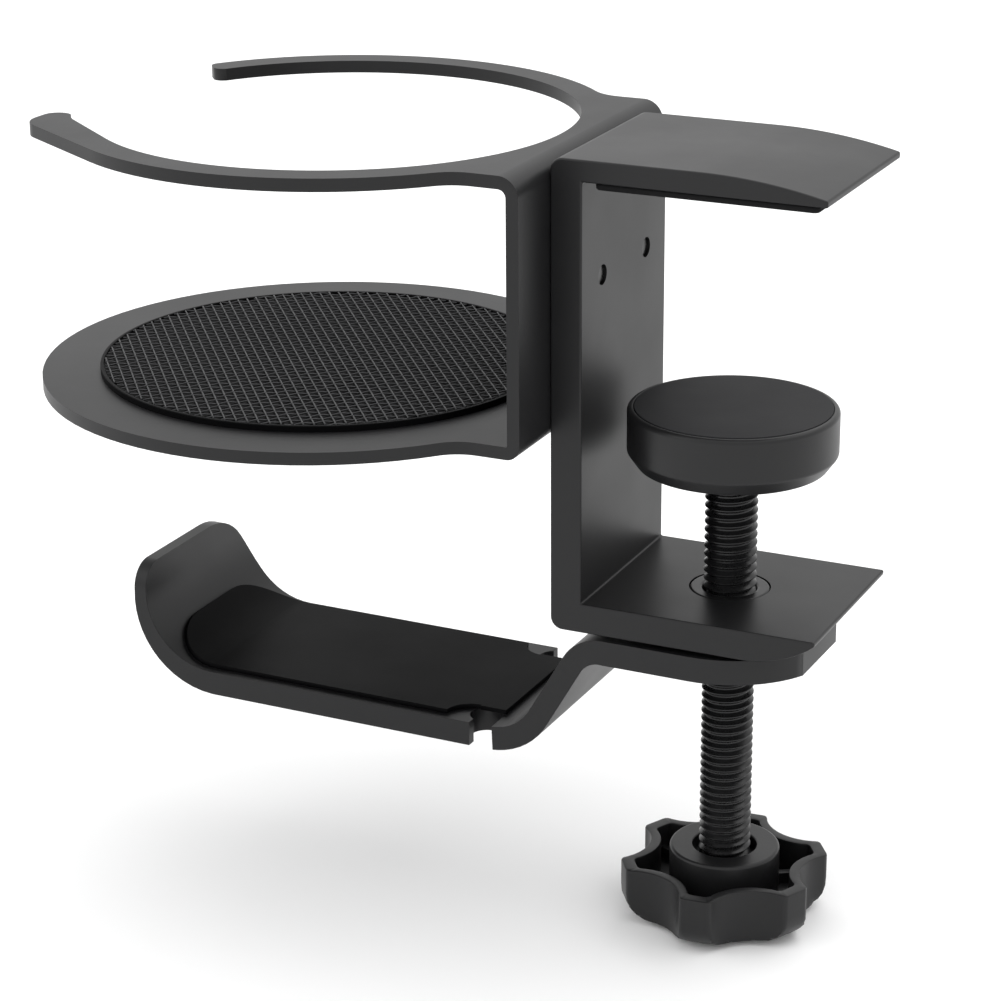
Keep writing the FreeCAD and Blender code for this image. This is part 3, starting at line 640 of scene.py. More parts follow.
@dataclass
class Strip:
    """Flat bar or sheet that is cut out flat and then bent.

    The flat outline is drawn in plan, and the path of the reference face in side view.

    Attributes:
        start: Where the path's first bend starts.
        heading: Direction of the path there, in radians.
        runs: Stretches of the path from there on; the first is an empty one.
        side: 1 if the thickness stands on the left of the path, -1 if on the right.
        gauge: Thickness of the flat strip.
        origin: X on the flat strip that lands on the start.
        flow: 1 if the path runs towards +X on the flat strip, -1 if towards -X.
        thickness: Thickness of the bent strip by the distance along the path.
        bend_step: Largest angle of one piece of a bend, in degrees.
    """

    start: tuple[float, float]
    heading: float
    runs: Sequence[Run]
    side: int
    gauge: float
    origin: float
    flow: int
    thickness: Callable[[float], float] | None = None
    bend_step: float = 7.0

    def starts(self) -> list[float]:
        """Measure where each run starts.

        Returns:
            Distance along the strip of each run's start.
        """
        found, total = [], 0.0
        for run in self.runs:
            found.append(total)
            total += run.extent
        return found

    def along(self, index: int, part: float = 0.0) -> float:
        """Distance along the strip at a length into a run."""
        return self.starts()[index] + part

    def frame_at(self, distance: float) -> tuple[Vector, Vector]:
        """Follow the path.

        Args:
            distance: Distance along the strip.

        Returns:
            Place on the reference face, and the direction of the thickness there.
        """
        place, heading, left = Vector((self.start[0], self.start[1])), self.heading, distance
        for index, run in enumerate(self.runs):
            last = index == len(self.runs) - 1
            used = left if last else min(left, run.extent)
            if run.degrees:
                turn = math.copysign(used / run.radius, run.degrees)
                arm = math.copysign(run.radius, run.degrees)
                normal = Vector((-math.sin(heading), math.cos(heading))) * arm
                place = place + normal
                heading += turn
                place = place - Vector((-math.sin(heading), math.cos(heading))) * arm
            else:
                place = place + Vector((math.cos(heading), math.sin(heading))) * used
            left -= used
            if left <= 1e-9 and not last:
                break
        return place, Vector((-math.sin(heading), math.cos(heading))) * self.side

    def bend(self, bm: bmesh.types.BMesh) -> None:
        """Bend a flat solid whose heights run from 0 to the gauge.

        Args:
            bm: Mesh of the flat solid.
        """
        for index, run in enumerate(self.runs):
            count = math.ceil(abs(run.degrees) / self.bend_step)
            for step in range(count + 1 if count else 0):
                spot = self.origin + self.flow * self.along(index, run.extent * step / count)
                bmesh.ops.bisect_plane(bm, geom=bm.verts[:] + bm.edges[:] + bm.faces[:],
                                       dist=1e-5, plane_co=(spot, 0, 0), plane_no=(1, 0, 0))
        for vert in bm.verts:
            distance = self.flow * (vert.co.x - self.origin)
            place, normal = self.frame_at(distance)
            share = vert.co.z / self.gauge
            full = self.thickness(distance) if self.thickness else self.gauge
            spot = place + normal * share * full
            vert.co = Vector((spot.x, vert.co.y, spot.y))
        bmesh.ops.recalc_face_normals(bm, faces=bm.faces)


# ---------------------------------------------------------------- packed sizes and loops


def corners_mm(node: str) -> tuple[Vector, Vector]:
    """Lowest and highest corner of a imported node, in millimetres."""
    low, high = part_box(node)
    return low / METRE, high / METRE


def star_outline(
    bm: bmesh.types.BMesh,
    lobes: int,
    radius: float,
    half: float,
    hollow: float,
    height: float,
    soft: float,
) -> list[bmesh.types.BMEdge]:
    """Flat lobes joined by hollow scallops, one lobe centred on +X.

    Args:
        bm: Mesh that receives the loop.
        lobes: How many lobes there are.
        radius: Radius of the corners of the lobes.
        half: Half the angle that a lobe takes.
        hollow: Radius of the scallops.
        height: Height of the loop.
        soft: Radius of the lobes' corners.

    Returns:
        The edges of the loop.
    """
    part = bmesh.new()
    pen = Pen(part, Plane.PLAN, polar((0, 0), radius, -half))
    corners = []
    share = 360 / lobes
    for lobe in range(lobes):
        middle = lobe * share
        first = polar((0, 0), radius, middle + half)
        last = polar((0, 0), radius, middle + share - half)
        corners += [(polar((0, 0), radius, middle - half), soft), (first, soft)]
        pen.line(first)
        chord = math.dist(first, last)
        rise = math.sqrt(hollow ** 2 - (chord / 2) ** 2)
        reach = math.dist((0, 0), ((first[0] + last[0]) / 2, (first[1] + last[1]) / 2)) + rise
        pen.arc_to(polar((0, 0), reach, middle + share / 2), last, left=False, step=9)
    pen.close()
    round_corners(part, corners, Plane.PLAN, step=30.0)
    bmesh.ops.delete(part, geom=part.faces[:], context="FACES_ONLY")
    bmesh.ops.translate(part, verts=part.verts, vec=(0, 0, height))
    known = set(bm.edges)
    join(bm, part)
    return [edge for edge in bm.edges if edge not in known]


def raise_loop(
    bm: bmesh.types.BMesh, loop: Sequence[bmesh.types.BMEdge], height: float
) -> list[bmesh.types.BMEdge]:
    """Draw a level loop of edges up or down to a height.

    Args:
        bm: Mesh with the loop.
        loop: Its edges.
        height: Height of the new loop.

    Returns:
        The edges of the new loop.
    """
    made = bmesh.ops.extrude_edge_only(bm, edges=list(loop))
    for vert in made["geom"]:
        if isinstance(vert, bmesh.types.BMVert):
            vert.co.z = height
    return [item for item in made["geom"] if isinstance(item, bmesh.types.BMEdge)
            and all(abs(v.co.z - height) < CLOSE for v in item.verts)]


# ---------------------------------------------------------------- clamp


@dataclass
class ClampFrame:
    """Extruded C-shaped frame whose two jaws grow thin towards their tips."""

    web: float = 4.8
    upper_thick: float = 3.2
    upper_tip: float = 1.0
    upper_flat: float = 22.0
    lower_thick: float = 4.5
    lower_tip: float = 0.7
    lower_reach: float = 40.4
    lower_flat: float = 29.5
    corner: float = 1.8
    edge: float = 0.3
    bush_hole: float = 6.0
    tapped_hole: float = 1.5
    screw_side: float = 8.0
    screw_height: float = -14.0

    def build(self) -> None:
        """Make the frame."""
        low, high = corners_mm("clamp_frame")
        back, roof, base, half = low.x, high.z, low.z, high.y
        inner, jaw, floor = back + self.web, roof - self.upper_thick, base + self.lower_thick
        lower_end = back + self.lower_reach
        run, fall = high.x - (back + self.upper_flat), self.upper_thick - self.upper_tip
        crown = (run ** 2 + fall ** 2) / (2 * fall)
        under, lift = lower_end - (back + self.lower_flat), self.lower_thick - self.lower_tip
        belly = (under ** 2 + lift ** 2) / (2 * lift)
        bm = bmesh.new()
        pen = Pen(bm, Plane.SIDE, (back, base + self.corner))
        pen.line((back, roof - self.corner))
        pen.arc((back + self.corner, roof - self.corner), -90, 15)
        pen.line((back + self.upper_flat, roof))
        pen.arc_to((back + self.upper_flat, roof - crown), (high.x, jaw + self.upper_tip),
                   left=False, step=1)
        pen.line((high.x, jaw), (inner, jaw), (inner, floor), (lower_end, floor),
                 (lower_end, floor - self.lower_tip))
        pen.arc_to((back + self.lower_flat, base + belly), (back + self.lower_flat, base),
                   left=False, step=4)
        pen.line((back + self.corner, base))
        pen.arc((back + self.corner, base + self.corner), -90, 15)
        pen.close()
        thicken(bm, bm.faces[:], Vector((0, 2 * half, 0)))
        bmesh.ops.translate(bm, verts=bm.verts, vec=(0, -half, 0))
        ease_edges(bm, self.edge, above=30)
        drill(bm, "Z", [Vector((0, 0, 0))], self.bush_hole, (floor, base), 64)
        taps = [Vector((0, side * self.screw_side, self.screw_height)) for side in (-1, 1)]
        drill(bm, "X", taps, self.tapped_hole, (back, inner), 24)
        finish_piece("clamp-frame", bm, Body.CLAMP, EXTRUDED_ANODISED,
                     ["clamp_frame"])


@dataclass
class JawPad:
    """Foam sheet glued under the upper jaw."""

    edge: float = 0.35
    corner: float = 1.0

    def build(self) -> None:
        """Make the pad, a flat sheet with rounded corners and soft edges."""
        low, high = corners_mm("upper_jaw_pad")
        bm = bmesh.new()
        pen = Pen(bm, Plane.PLAN, (low.x, low.y))
        pen.line((high.x, low.y), (high.x, high.y), (low.x, high.y))
        pen.close()
        round_corners(bm, [((x, y), self.corner) for x in (low.x, high.x)
                           for y in (low.y, high.y)], Plane.PLAN)
        thicken(bm, bm.faces[:], Vector((0, 0, high.z - low.z)))
        bmesh.ops.translate(bm, verts=bm.verts, vec=(0, 0, low.z))
        ease_edges(bm, self.edge, 4)
        pad = finish_piece("upper-jaw-pad", bm, Body.CLAMP, FOAM_SHEET,
                           ["upper_jaw_pad"])


# ---------------------------------------------------------------- cup bracket


@dataclass
class CupBracket:
    """Bent sheet: an open ring above, a web against the clamp, and a round tray below."""

    gauge: float = 1.9
    half_web: float = 25.9
    top_bend: float = 3.1
    tray_bend: float = 2.1
    ring_centre: float = -63.2
    ring_inner: float = 36.0
    ring_outer: float = 40.6
    tray_centre: float = -66.0
    tray_round: float = 43.0
    neck_round: float = 6.5
    away_angles: tuple[float, float] = (147.5, 150.0)
    near_angles: tuple[float, float] = (-121.0, -128.0)
    near_tip: tuple[tuple[float, float], ...] = (
        (-33.9, -19.3), (-35.4, -16.9), (-38.7, -16.4), (-39.1, -23.8))
    near_rounds: tuple[float, ...] = (6.0, 1.6, 2.2, 5.0)
    tip_round: float = 1.6
    edge: float = 0.25

    def build(self) -> None:
        """Cut the blank, ease its rims, and bend it."""
        low, high = corners_mm("cup_bracket")
        wall = corners_mm("clamp_frame")[0].x
        start = wall - self.top_bend
        web = high.z - self.top_bend - (low.z + self.tray_bend)
        strip = Strip(start=(start, high.z), heading=0.0, side=-1, gauge=self.gauge, origin=start,
                      flow=1, runs=(Run(), Run(radius=self.top_bend, degrees=-90),
                                    Run(length=web), Run(radius=self.tray_bend, degrees=-90),
                                    Run()))
        mirror_line = start + strip.along(4) + (wall - self.tray_bend)
        tray = mirror_line - self.tray_centre
        bm = bmesh.new()
        self.blank(bm, tray, self.half_web)
        thicken(bm, bm.faces[:], Vector((0, 0, self.gauge)))
        ease_edges(bm, self.edge)
        strip.bend(bm)
        finish_piece("cup-bracket", bm, Body.CLAMP, POWDER_COAT,
                     ["cup_bracket"])

    def neck(self, radius: float, half: float) -> tuple[float, float, float]:
        """Where a neck's hollow round meets the straight edge and the circle.

        Args:
            radius: Radius of the ring or tray.
            half: Half the width of the web.

        Returns:
            Run from the circle's centre to the hollow's centre, and the touching point on
            the circle as its run and rise.
        """
        reach, rise = radius + self.neck_round, half + self.neck_round
        run = math.sqrt(reach ** 2 - rise ** 2)
        return run, run * radius / reach, rise * radius / reach

    def blank(self, bm: bmesh.types.BMesh, tray: float, half: float) -> None:
        """Draw the flat blank.

        Args:
            bm: Mesh that receives it.
            tray: Centre of the tray on the blank.
            half: Half the width of the web.
        """
        ring_run, ring_x, ring_y = self.neck(self.ring_outer, half)
        tray_run, tray_x, tray_y = self.neck(self.tray_round, half)
        centre, hollow = self.ring_centre, half + self.neck_round
        ring, dish = (centre, 0.0), (tray, 0.0)
        pen = Pen(bm, Plane.PLAN, (centre + ring_run, -half))
        pen.line((tray - tray_run, -half))
        pen.arc_to((tray - tray_run, -hollow), (tray - tray_x, -tray_y), left=False, step=8)
        pen.arc_to(dish, (tray - tray_x, tray_y), left=True, step=4)
        pen.arc_to((tray - tray_run, hollow), (tray - tray_run, half), left=False, step=8)
        pen.line((centre + ring_run, half))
        pen.arc_to((centre + ring_run, hollow), (centre + ring_x, ring_y), left=False, step=8)
        away = polar(ring, self.ring_outer, self.away_angles[0])
        away_in = polar(ring, self.ring_inner, self.away_angles[1])
        pen.arc_to(ring, away, left=True, step=3)
        pen.line(away_in)
        pen.arc_to(ring, polar(ring, self.ring_inner, self.near_angles[1]), left=False, step=3)
        tip = [(centre + x, y) for x, y in self.near_tip]
        pen.line(*tip, polar(ring, self.ring_outer, self.near_angles[0]))
        pen.arc_to(ring, (centre + ring_x, -ring_y), left=True, step=3)
        pen.arc_to((centre + ring_run, -hollow), (centre + ring_run, -half), left=False, step=8)
        pen.close()
        round_corners(bm, [(spot, self.tip_round) for spot in (away, away_in)], Plane.PLAN)
        round_corners(bm, zip(tip, self.near_rounds), Plane.PLAN)



@dataclass
class BracketScrews:
    """Two button-head screws that fix the bracket to the web."""

    shank: float = 1.45
    head: float = 2.85
    head_tall: float = 1.65
    head_rim: float = 0.55
    head_chamfer: float = 0.1
    point: float = 0.2
    crown: float = 1.3
    key: float = 2.0
    key_deep: float = 1.0
    countersink: float = 0.12

    def build(self) -> None:
        """Make both screws."""
        for end in ("near", "away"):
            node = "bracket_screw_" + end
            low, high = corners_mm(node)
            bm = bmesh.new()
            self.screw(bm, high.x - low.x)
            place = Matrix.Translation((low.x, (low.y + high.y) / 2, (low.z + high.z) / 2))
            bmesh.ops.transform(bm, verts=bm.verts,
                                matrix=place @ Matrix.Rotation(-math.pi / 2, 4, "Y"))
            finish_piece("bracket-screw-" + end, bm, Body.CLAMP, BLACK_OXIDE,
                         [node])

    def screw(self, bm: bmesh.types.BMesh, length: float) -> None:
        """One screw along Z, the crown of its head at height 0.

        Args:
            bm: Mesh that receives it.
            length: Length from the crown to the end of the shank.
        """
        tall = self.head_tall
        pen = Pen(bm, Plane.SIDE, (0, -length))
        pen.line((self.shank - self.point, -length), (self.shank, self.point - length),
                 (self.shank, -tall), (self.head - self.head_chamfer, -tall),
                 (self.head, self.head_chamfer - tall), (self.head, self.head_rim - tall))
        rim, top = (self.head, self.head_rim - tall), (self.crown, 0.0)
        pen.arc_to(arc_middle(rim, top, self.head), top, left=True, step=8)
        bmesh.ops.spin(bm, geom=bm.verts[:] + bm.edges[:], cent=(0, 0, 0), axis=(0, 0, 1),
                       angle=2 * math.pi, steps=36, use_merge=True)
        bmesh.ops.remove_doubles(bm, verts=bm.verts, dist=1e-4)
        mouth = [e for e in bm.edges if len(e.link_faces) == 1]
        corner = self.key / 2 / math.cos(math.pi / 6)
        rim_loop = circle_edges(bm, Vector((0, 0, -self.countersink)), corner, steps=6)
        bmesh.ops.bridge_loops(bm, edges=mouth + rim_loop)
        wall = raise_loop(bm, rim_loop, -self.key_deep)
        bmesh.ops.contextual_create(bm, geom=wall)
        bmesh.ops.recalc_face_normals(bm, faces=bm.faces)


def arc_middle(
    start: tuple[float, float], end: tuple[float, float], radius: float
) -> tuple[float, float]:
    """Centre of an arc to the left, under half a turn.

    Args:
        start: Where the arc starts.
        end: Where it ends.
        radius: Its radius.

    Returns:
        The centre.
    """
    chord = math.dist(start, end)
    rise = math.sqrt(radius ** 2 - (chord / 2) ** 2)
    across, up = (end[0] - start[0]) / chord, (end[1] - start[1]) / chord
    return ((start[0] + end[0]) / 2 - up * rise, (start[1] + end[1]) / 2 + across * rise)


@dataclass
class CupMat:
    """Rubber mat on the tray: a base with a raised rim, and a woven net inside the rim."""

    rim: float = 0.55
    rim_rise: float = 0.35
    pitch: float = 1.5
    warp_angle: float = -52.0
    strand: float = 0.14
    warp_wave: float = 0.03
    weft_wave: float = 0.1
    sides: int = 4

    def build(self) -> None:
        """Make the base and the net."""
        low, high = corners_mm("cup_mat_base")
        centre, outer = (low.x + high.x) / 2, (high.x - low.x) / 2
        top = high.z + self.rim_rise
        bm = bmesh.new()
        lathe(bm, [(0, low.z), (outer, low.z), (outer, top), (outer - self.rim, top),
                   (outer - self.rim, high.z), (0, high.z)], 144,
              [((outer, top), 0.15), ((outer - self.rim, top), 0.15)])
        bmesh.ops.translate(bm, verts=bm.verts, vec=(centre, 0, 0))
        finish_piece("mat-base", bm, Body.CLAMP, SILICONE, ["cup_mat_base"])
        net_low, net_high = corners_mm("cup_mat_mesh")
        reach = (net_high.x - net_low.x) / 2
        middle = (net_low.z + net_high.z) / 2
        net = bmesh.new()
        count = int(reach // self.pitch)
        for turned, wave, lift in ((0, self.warp_wave, 0.04), (90, -self.weft_wave, -0.04)):
            for index in range(-count, count + 1):
                self.roll_strand(net, index, reach, wave, turned, middle + lift)
        bmesh.ops.translate(net, verts=net.verts, vec=(centre, 0, 0))
        finish_piece("woven-net", net, Body.CLAMP, NET_FILAMENT,
                     ["cup_mat_mesh"], sharp=math.radians(100))

    def roll_strand(
        self,
        bm: bmesh.types.BMesh,
        index: int,
        reach: float,
        wave: float,
        turned: float,
        level: float,
    ) -> None:
        """Roll a strip of grid to one waved strand of the net.

        Args:
            bm: Mesh that receives the strand.
            index: Place of the strand from the middle, in pitches.
            reach: Radius of the net.
            wave: Height of the wave over the middle crossing.
            turned: 0 for a warp strand, 90 for a weft strand, in degrees.
            level: Mean height of the strand.
        """
        aside = index * self.pitch
        half = math.sqrt(reach ** 2 - aside ** 2)
        steps = max(4, round(4 * half / self.pitch))
        part = bmesh.new()
        bmesh.ops.create_grid(part, x_segments=steps, y_segments=self.sides, size=0.5)
        sign = -1 if index % 2 else 1
        for vert in part.verts:
            along, around = 2 * half * vert.co.x, 2 * math.pi * (vert.co.y + 0.5)
            rise = sign * wave * math.cos(math.pi * along / self.pitch)
            vert.co = Vector((along, aside + self.strand * math.cos(around),
                              level + rise + self.strand * math.sin(around)))
        bmesh.ops.remove_doubles(part, verts=part.verts, dist=1e-4)
        bmesh.ops.holes_fill(part, edges=[e for e in part.edges if e.is_boundary], sides=0)
        bmesh.ops.rotate(part, verts=part.verts, cent=(0, 0, 0), matrix=Matrix.Rotation(
            math.radians(self.warp_angle + turned), 3, "Z"))
        bmesh.ops.recalc_face_normals(part, faces=part.faces)
        join(bm, part)


# ---------------------------------------------------------------- swivel and hook


@dataclass
class Swivel:
    """Bush in the lower jaw, and the washer and ring that keep the hook on it."""

    bore: float = 3.92
    groove: float = 5.4
    play: float = 0.1
    mouth: float = 2.4
    edge: float = 0.15
    lead: float = 0.55

    def build(self) -> None:
        """Make the bush, the washer and the retaining ring."""
        low, high = corners_mm("threaded_bush")
        clip_low, clip_high = corners_mm("hook_retaining_ring")
        bm = bmesh.new()
        lathe(bm, [(self.bore, high.z), (self.bore, low.z), (high.x, low.z),
                   (high.x, clip_low.z), (self.groove, clip_low.z), (self.groove, clip_high.z),
                   (high.x, clip_high.z), (high.x, high.z)], 64,
              [((self.bore, low.z), 0.3), ((high.x, low.z), 0.2), ((self.bore, high.z), 0.5),
               ((high.x, high.z), self.lead)])
        finish_piece("threaded-bush", bm, Body.CLAMP, TURNED_STEEL,
                     ["threaded_bush"])
        washer_low, washer_high = corners_mm("swivel_washer")
        inside = high.x + self.play
        bm = bmesh.new()
        lathe(bm, [(inside, washer_high.z), (inside, washer_low.z),
                   (washer_high.x, washer_low.z), (washer_high.x, washer_high.z)], 96,
              [((washer_high.x, washer_low.z), self.edge),
               ((washer_high.x, washer_high.z), self.edge)])
        finish_piece("swivel-washer", bm, Body.CLAMP, TURNED_STEEL,
                     ["swivel_washer"])
        self.clip(clip_low, clip_high)

    def clip(self, low: Vector, high: Vector) -> None:
        """Make the open retaining ring.

        Args:
            low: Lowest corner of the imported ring.
            high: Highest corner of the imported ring.
        """
        outer, inner = high.y, self.groove
        gap = math.degrees(math.asin(self.mouth / 2 / outer))
        gap_in = math.degrees(math.asin(self.mouth / 2 / inner))
        bm = bmesh.new()
        pen = Pen(bm, Plane.PLAN, polar((0, 0), outer, gap))
        pen.arc_to((0, 0), polar((0, 0), outer, -gap), left=True, step=6)
        pen.line(polar((0, 0), inner, -gap_in))
        pen.arc_to((0, 0), polar((0, 0), inner, gap_in), left=False, step=6)
        pen.close()
        thicken(bm, bm.faces[:], Vector((0, 0, high.z - low.z)))
        bmesh.ops.translate(bm, verts=bm.verts, vec=(0, 0, low.z))
        ease_edges(bm, self.edge / 2, 2)
        finish_piece("retaining-ring", bm, Body.CLAMP, TURNED_STEEL,
                     ["hook_retaining_ring"])


@dataclass
class HeadphoneHook:
    """Flat bar bent to a swivel plate, a ramp, an arm and a curl, with a soft inlay."""

    swing: float = -0.8
    half: float = 15.8
    plate_top: float = -66.6
    ramp: float = 60.0
    high_corner: float = 17.6
    high_bend: float = 7.0
    low_corner: float = 27.37
    low_bend: float = 7.5
    arm_top: float = -83.55
    curl_far: float = 79.8
    curl_in: float = 11.4
    curl_top: float = -67.9
    curl_out: float = 14.0
    curl_shift: tuple[float, float] = (0.5, -1.15)
    plate_thick: float = 3.8
    ramp_thick: float = 3.4
    arm_thick: float = 3.75
    end_rounds: tuple[float, float] = (4.0, 12.0)
    bore: float = 6.1
    plate_end: float = 14.2
    hole_far: float = 34.0
    hole_side: float = 12.0
    hole_round: float = 2.5
    slot: tuple[float, float] = (31.4, 35.1)
    edge: float = 0.3
    inlay_thick: float = 0.7
    inlay_half: float = 14.3
    inlay_start: float = 31.2
    inlay_climb: float = 53.0
    inlay_corner: float = 9.0
    bite_far: float = 35.6
    bite_side: float = 14.6
    bite_round: float = 3.9
    bite_edge: float = 10.95

    def strip(self, side: int, gauge: float) -> "Strip":
        """The bar's path along its upper face.

        Args:
            side: 1 for a strip below the path, -1 for one above it.
            gauge: Thickness of the flat strip.

        Returns:
            The strip, ready to bend.
        """
        high = self.high_bend * math.tan(math.radians(self.ramp / 2))
        low = self.low_bend * math.tan(math.radians(self.ramp / 2))
        start = -self.high_corner + high
        slope = (self.plate_top - self.arm_top) / math.sin(math.radians(self.ramp)) - high - low
        arm = self.curl_far - self.low_corner - low
        curl_end = max(0.0, self.curl_top - (self.arm_top + self.curl_in))
        return Strip(start=(start, self.plate_top), heading=math.pi, side=side, gauge=gauge,
                     origin=start, flow=-1, runs=(
                         Run(), Run(radius=self.high_bend, degrees=self.ramp),
                         Run(length=slope), Run(radius=self.low_bend, degrees=-self.ramp),
                         Run(length=arm), Run(radius=self.curl_in, degrees=-90),
                         Run(length=curl_end)))

    def thickness(self, strip: "Strip") -> Callable[[float], float]:
        """Thickness of the bar by the distance along its path.

        Args:
            strip: The bar's strip.

        Returns:
            Function that turns a distance into a thickness.
        """
        marks = strip.starts()
        shift_x, shift_z = self.curl_shift

        def at(distance: float) -> float:
            """Thickness of the bar at one place.

            Args:
                distance: Distance along the path.

            Returns:
                Thickness there.
            """
            if distance <= marks[2]:
                share = max(0.0, (distance - marks[1]) / (marks[2] - marks[1]))
                return self.plate_thick + (self.ramp_thick - self.plate_thick) * share
            if distance <= marks[4]:
                share = max(0.0, (distance - marks[3]) / (marks[4] - marks[3]))
                return self.ramp_thick + (self.arm_thick - self.ramp_thick) * share
            if distance <= marks[5]:
                return self.arm_thick
            turn = min(math.pi / 2, (distance - marks[5]) / self.curl_in)
            across = -math.sin(turn) * shift_x - math.cos(turn) * shift_z
            gone = shift_x ** 2 + shift_z ** 2
            return across + math.sqrt(self.curl_out ** 2 - gone + across ** 2) - self.curl_in

        return at

    def build(self) -> None:
        """Make the bar and its inlay."""
        self.bar()
        self.inlay()

    def bar(self) -> None:
        """Cut, drill, ease and bend the bar."""
        strip = self.strip(1, self.arm_thick)
        strip.thickness = self.thickness(strip)
        arm_shift = self.arm_shift(strip)
        end = strip.origin - strip.along(6, strip.runs[6].length)
        bm = bmesh.new()
        pen = Pen(bm, Plane.PLAN, (end, self.half))
        pen.line((end, -self.half))
        self.keyhole(pen, -1, arm_shift)
        pen.line((0.0, -self.half))
        flat = math.sqrt(self.half ** 2 - self.plate_end ** 2)
        pen.arc_to((0.0, 0.0), (self.plate_end, -flat), left=True, step=5)
        pen.line((self.plate_end, flat))
        pen.arc_to((0.0, 0.0), (0.0, self.half), left=True, step=5)
        self.keyhole(pen, 1, arm_shift)
        pen.close()
        near, away = self.end_rounds
        round_corners(bm, [((end, -self.half), near), ((end, self.half), away)], Plane.PLAN)
        thicken(bm, bm.faces[:], Vector((0, 0, self.arm_thick)))
        ease_edges(bm, self.edge)
        drill(bm, "Z", [Vector((0, 0, 0))], self.bore, (0.0, self.arm_thick), 64)
        strip.bend(bm)
        self.swing_round(bm)
        finish_piece("headphone-hook", bm, Body.HOOK, BAR_ANODISED,
                     ["headphone_hook"])

    def arm_shift(self, strip: "Strip") -> float:
        """How far the flat arm lies from the bent one."""
        bent = strip.frame_at(strip.along(4))[0].x
        return strip.origin - strip.along(4) - bent

    def keyhole(self, pen: Pen, side: int, shift: float) -> None:
        """Draw one cable hole and its slot as part of the bar's edge.

        Args:
            pen: Pen on the edge.
            side: -1 for the near edge, drawn towards +X, 1 for the other, drawn back.
            shift: How far the flat arm lies from the bent one.
        """
        centre = (shift - self.hole_far, side * self.hole_side)
        first, last = shift - self.slot[1], shift - self.slot[0]
        drop = math.sqrt(self.hole_round ** 2 - (first - centre[0]) ** 2)
        meet = (first, centre[1] + side * drop)
        right = (centre[0] + self.hole_round, centre[1])
        edge = side * self.half
        if side < 0:
            pen.line((first, edge), meet)
            pen.arc_to(centre, right, left=False, step=8)
            pen.line((last, centre[1]), (last, edge))
        else:
            pen.line((last, edge), (last, centre[1]), right)
            pen.arc_to(centre, meet, left=False, step=8)
            pen.line((first, edge))

    def inlay(self) -> None:
        """Cut the inlay, ease it, and lay it along the arm and up the curl."""
        strip = self.strip(-1, self.inlay_thick)
        shift = self.arm_shift(strip)
        start = shift - self.inlay_start
        end = strip.origin - strip.along(5, math.radians(self.inlay_climb) * self.curl_in)
        bite = shift - self.bite_far
        reach = math.sqrt(self.bite_round ** 2 - (self.bite_side - self.inlay_half) ** 2)
        rise = self.bite_side - self.bite_round
        bm = bmesh.new()
        pen = Pen(bm, Plane.PLAN, (end, -self.inlay_half))
        pen.line((bite - reach, -self.inlay_half))
        pen.arc_to((bite, -self.bite_side), (bite, -rise), left=False, step=8)
        pen.line((bite, -self.bite_edge), (start, -self.bite_edge), (start, self.bite_edge),
                 (bite, self.bite_edge), (bite, rise))
        pen.arc_to((bite, self.bite_side), (bite - reach, self.inlay_half), left=False, step=8)
        pen.line((end, self.inlay_half))
        pen.close()
        round_corners(bm, [((end, side * self.inlay_half), self.inlay_corner)
                           for side in (-1, 1)], Plane.PLAN)
        thicken(bm, bm.faces[:], Vector((0, 0, self.inlay_thick)))
        ease_edges(bm, self.edge * 0.8)
        strip.bend(bm)
        self.swing_round(bm)
        inlay = finish_piece("hook-inlay", bm, Body.HOOK, SILICONE, ["hook_pad"])

    def swing_round(self, bm: bmesh.types.BMesh) -> None:
        """Turn a mesh about the screw by the hook's rest angle."""
        bmesh.ops.rotate(bm, verts=bm.verts, cent=(0, 0, 0),
                         matrix=Matrix.Rotation(math.radians(self.swing), 3, "Z"))


# ---------------------------------------------------------------- screw, pad and knob


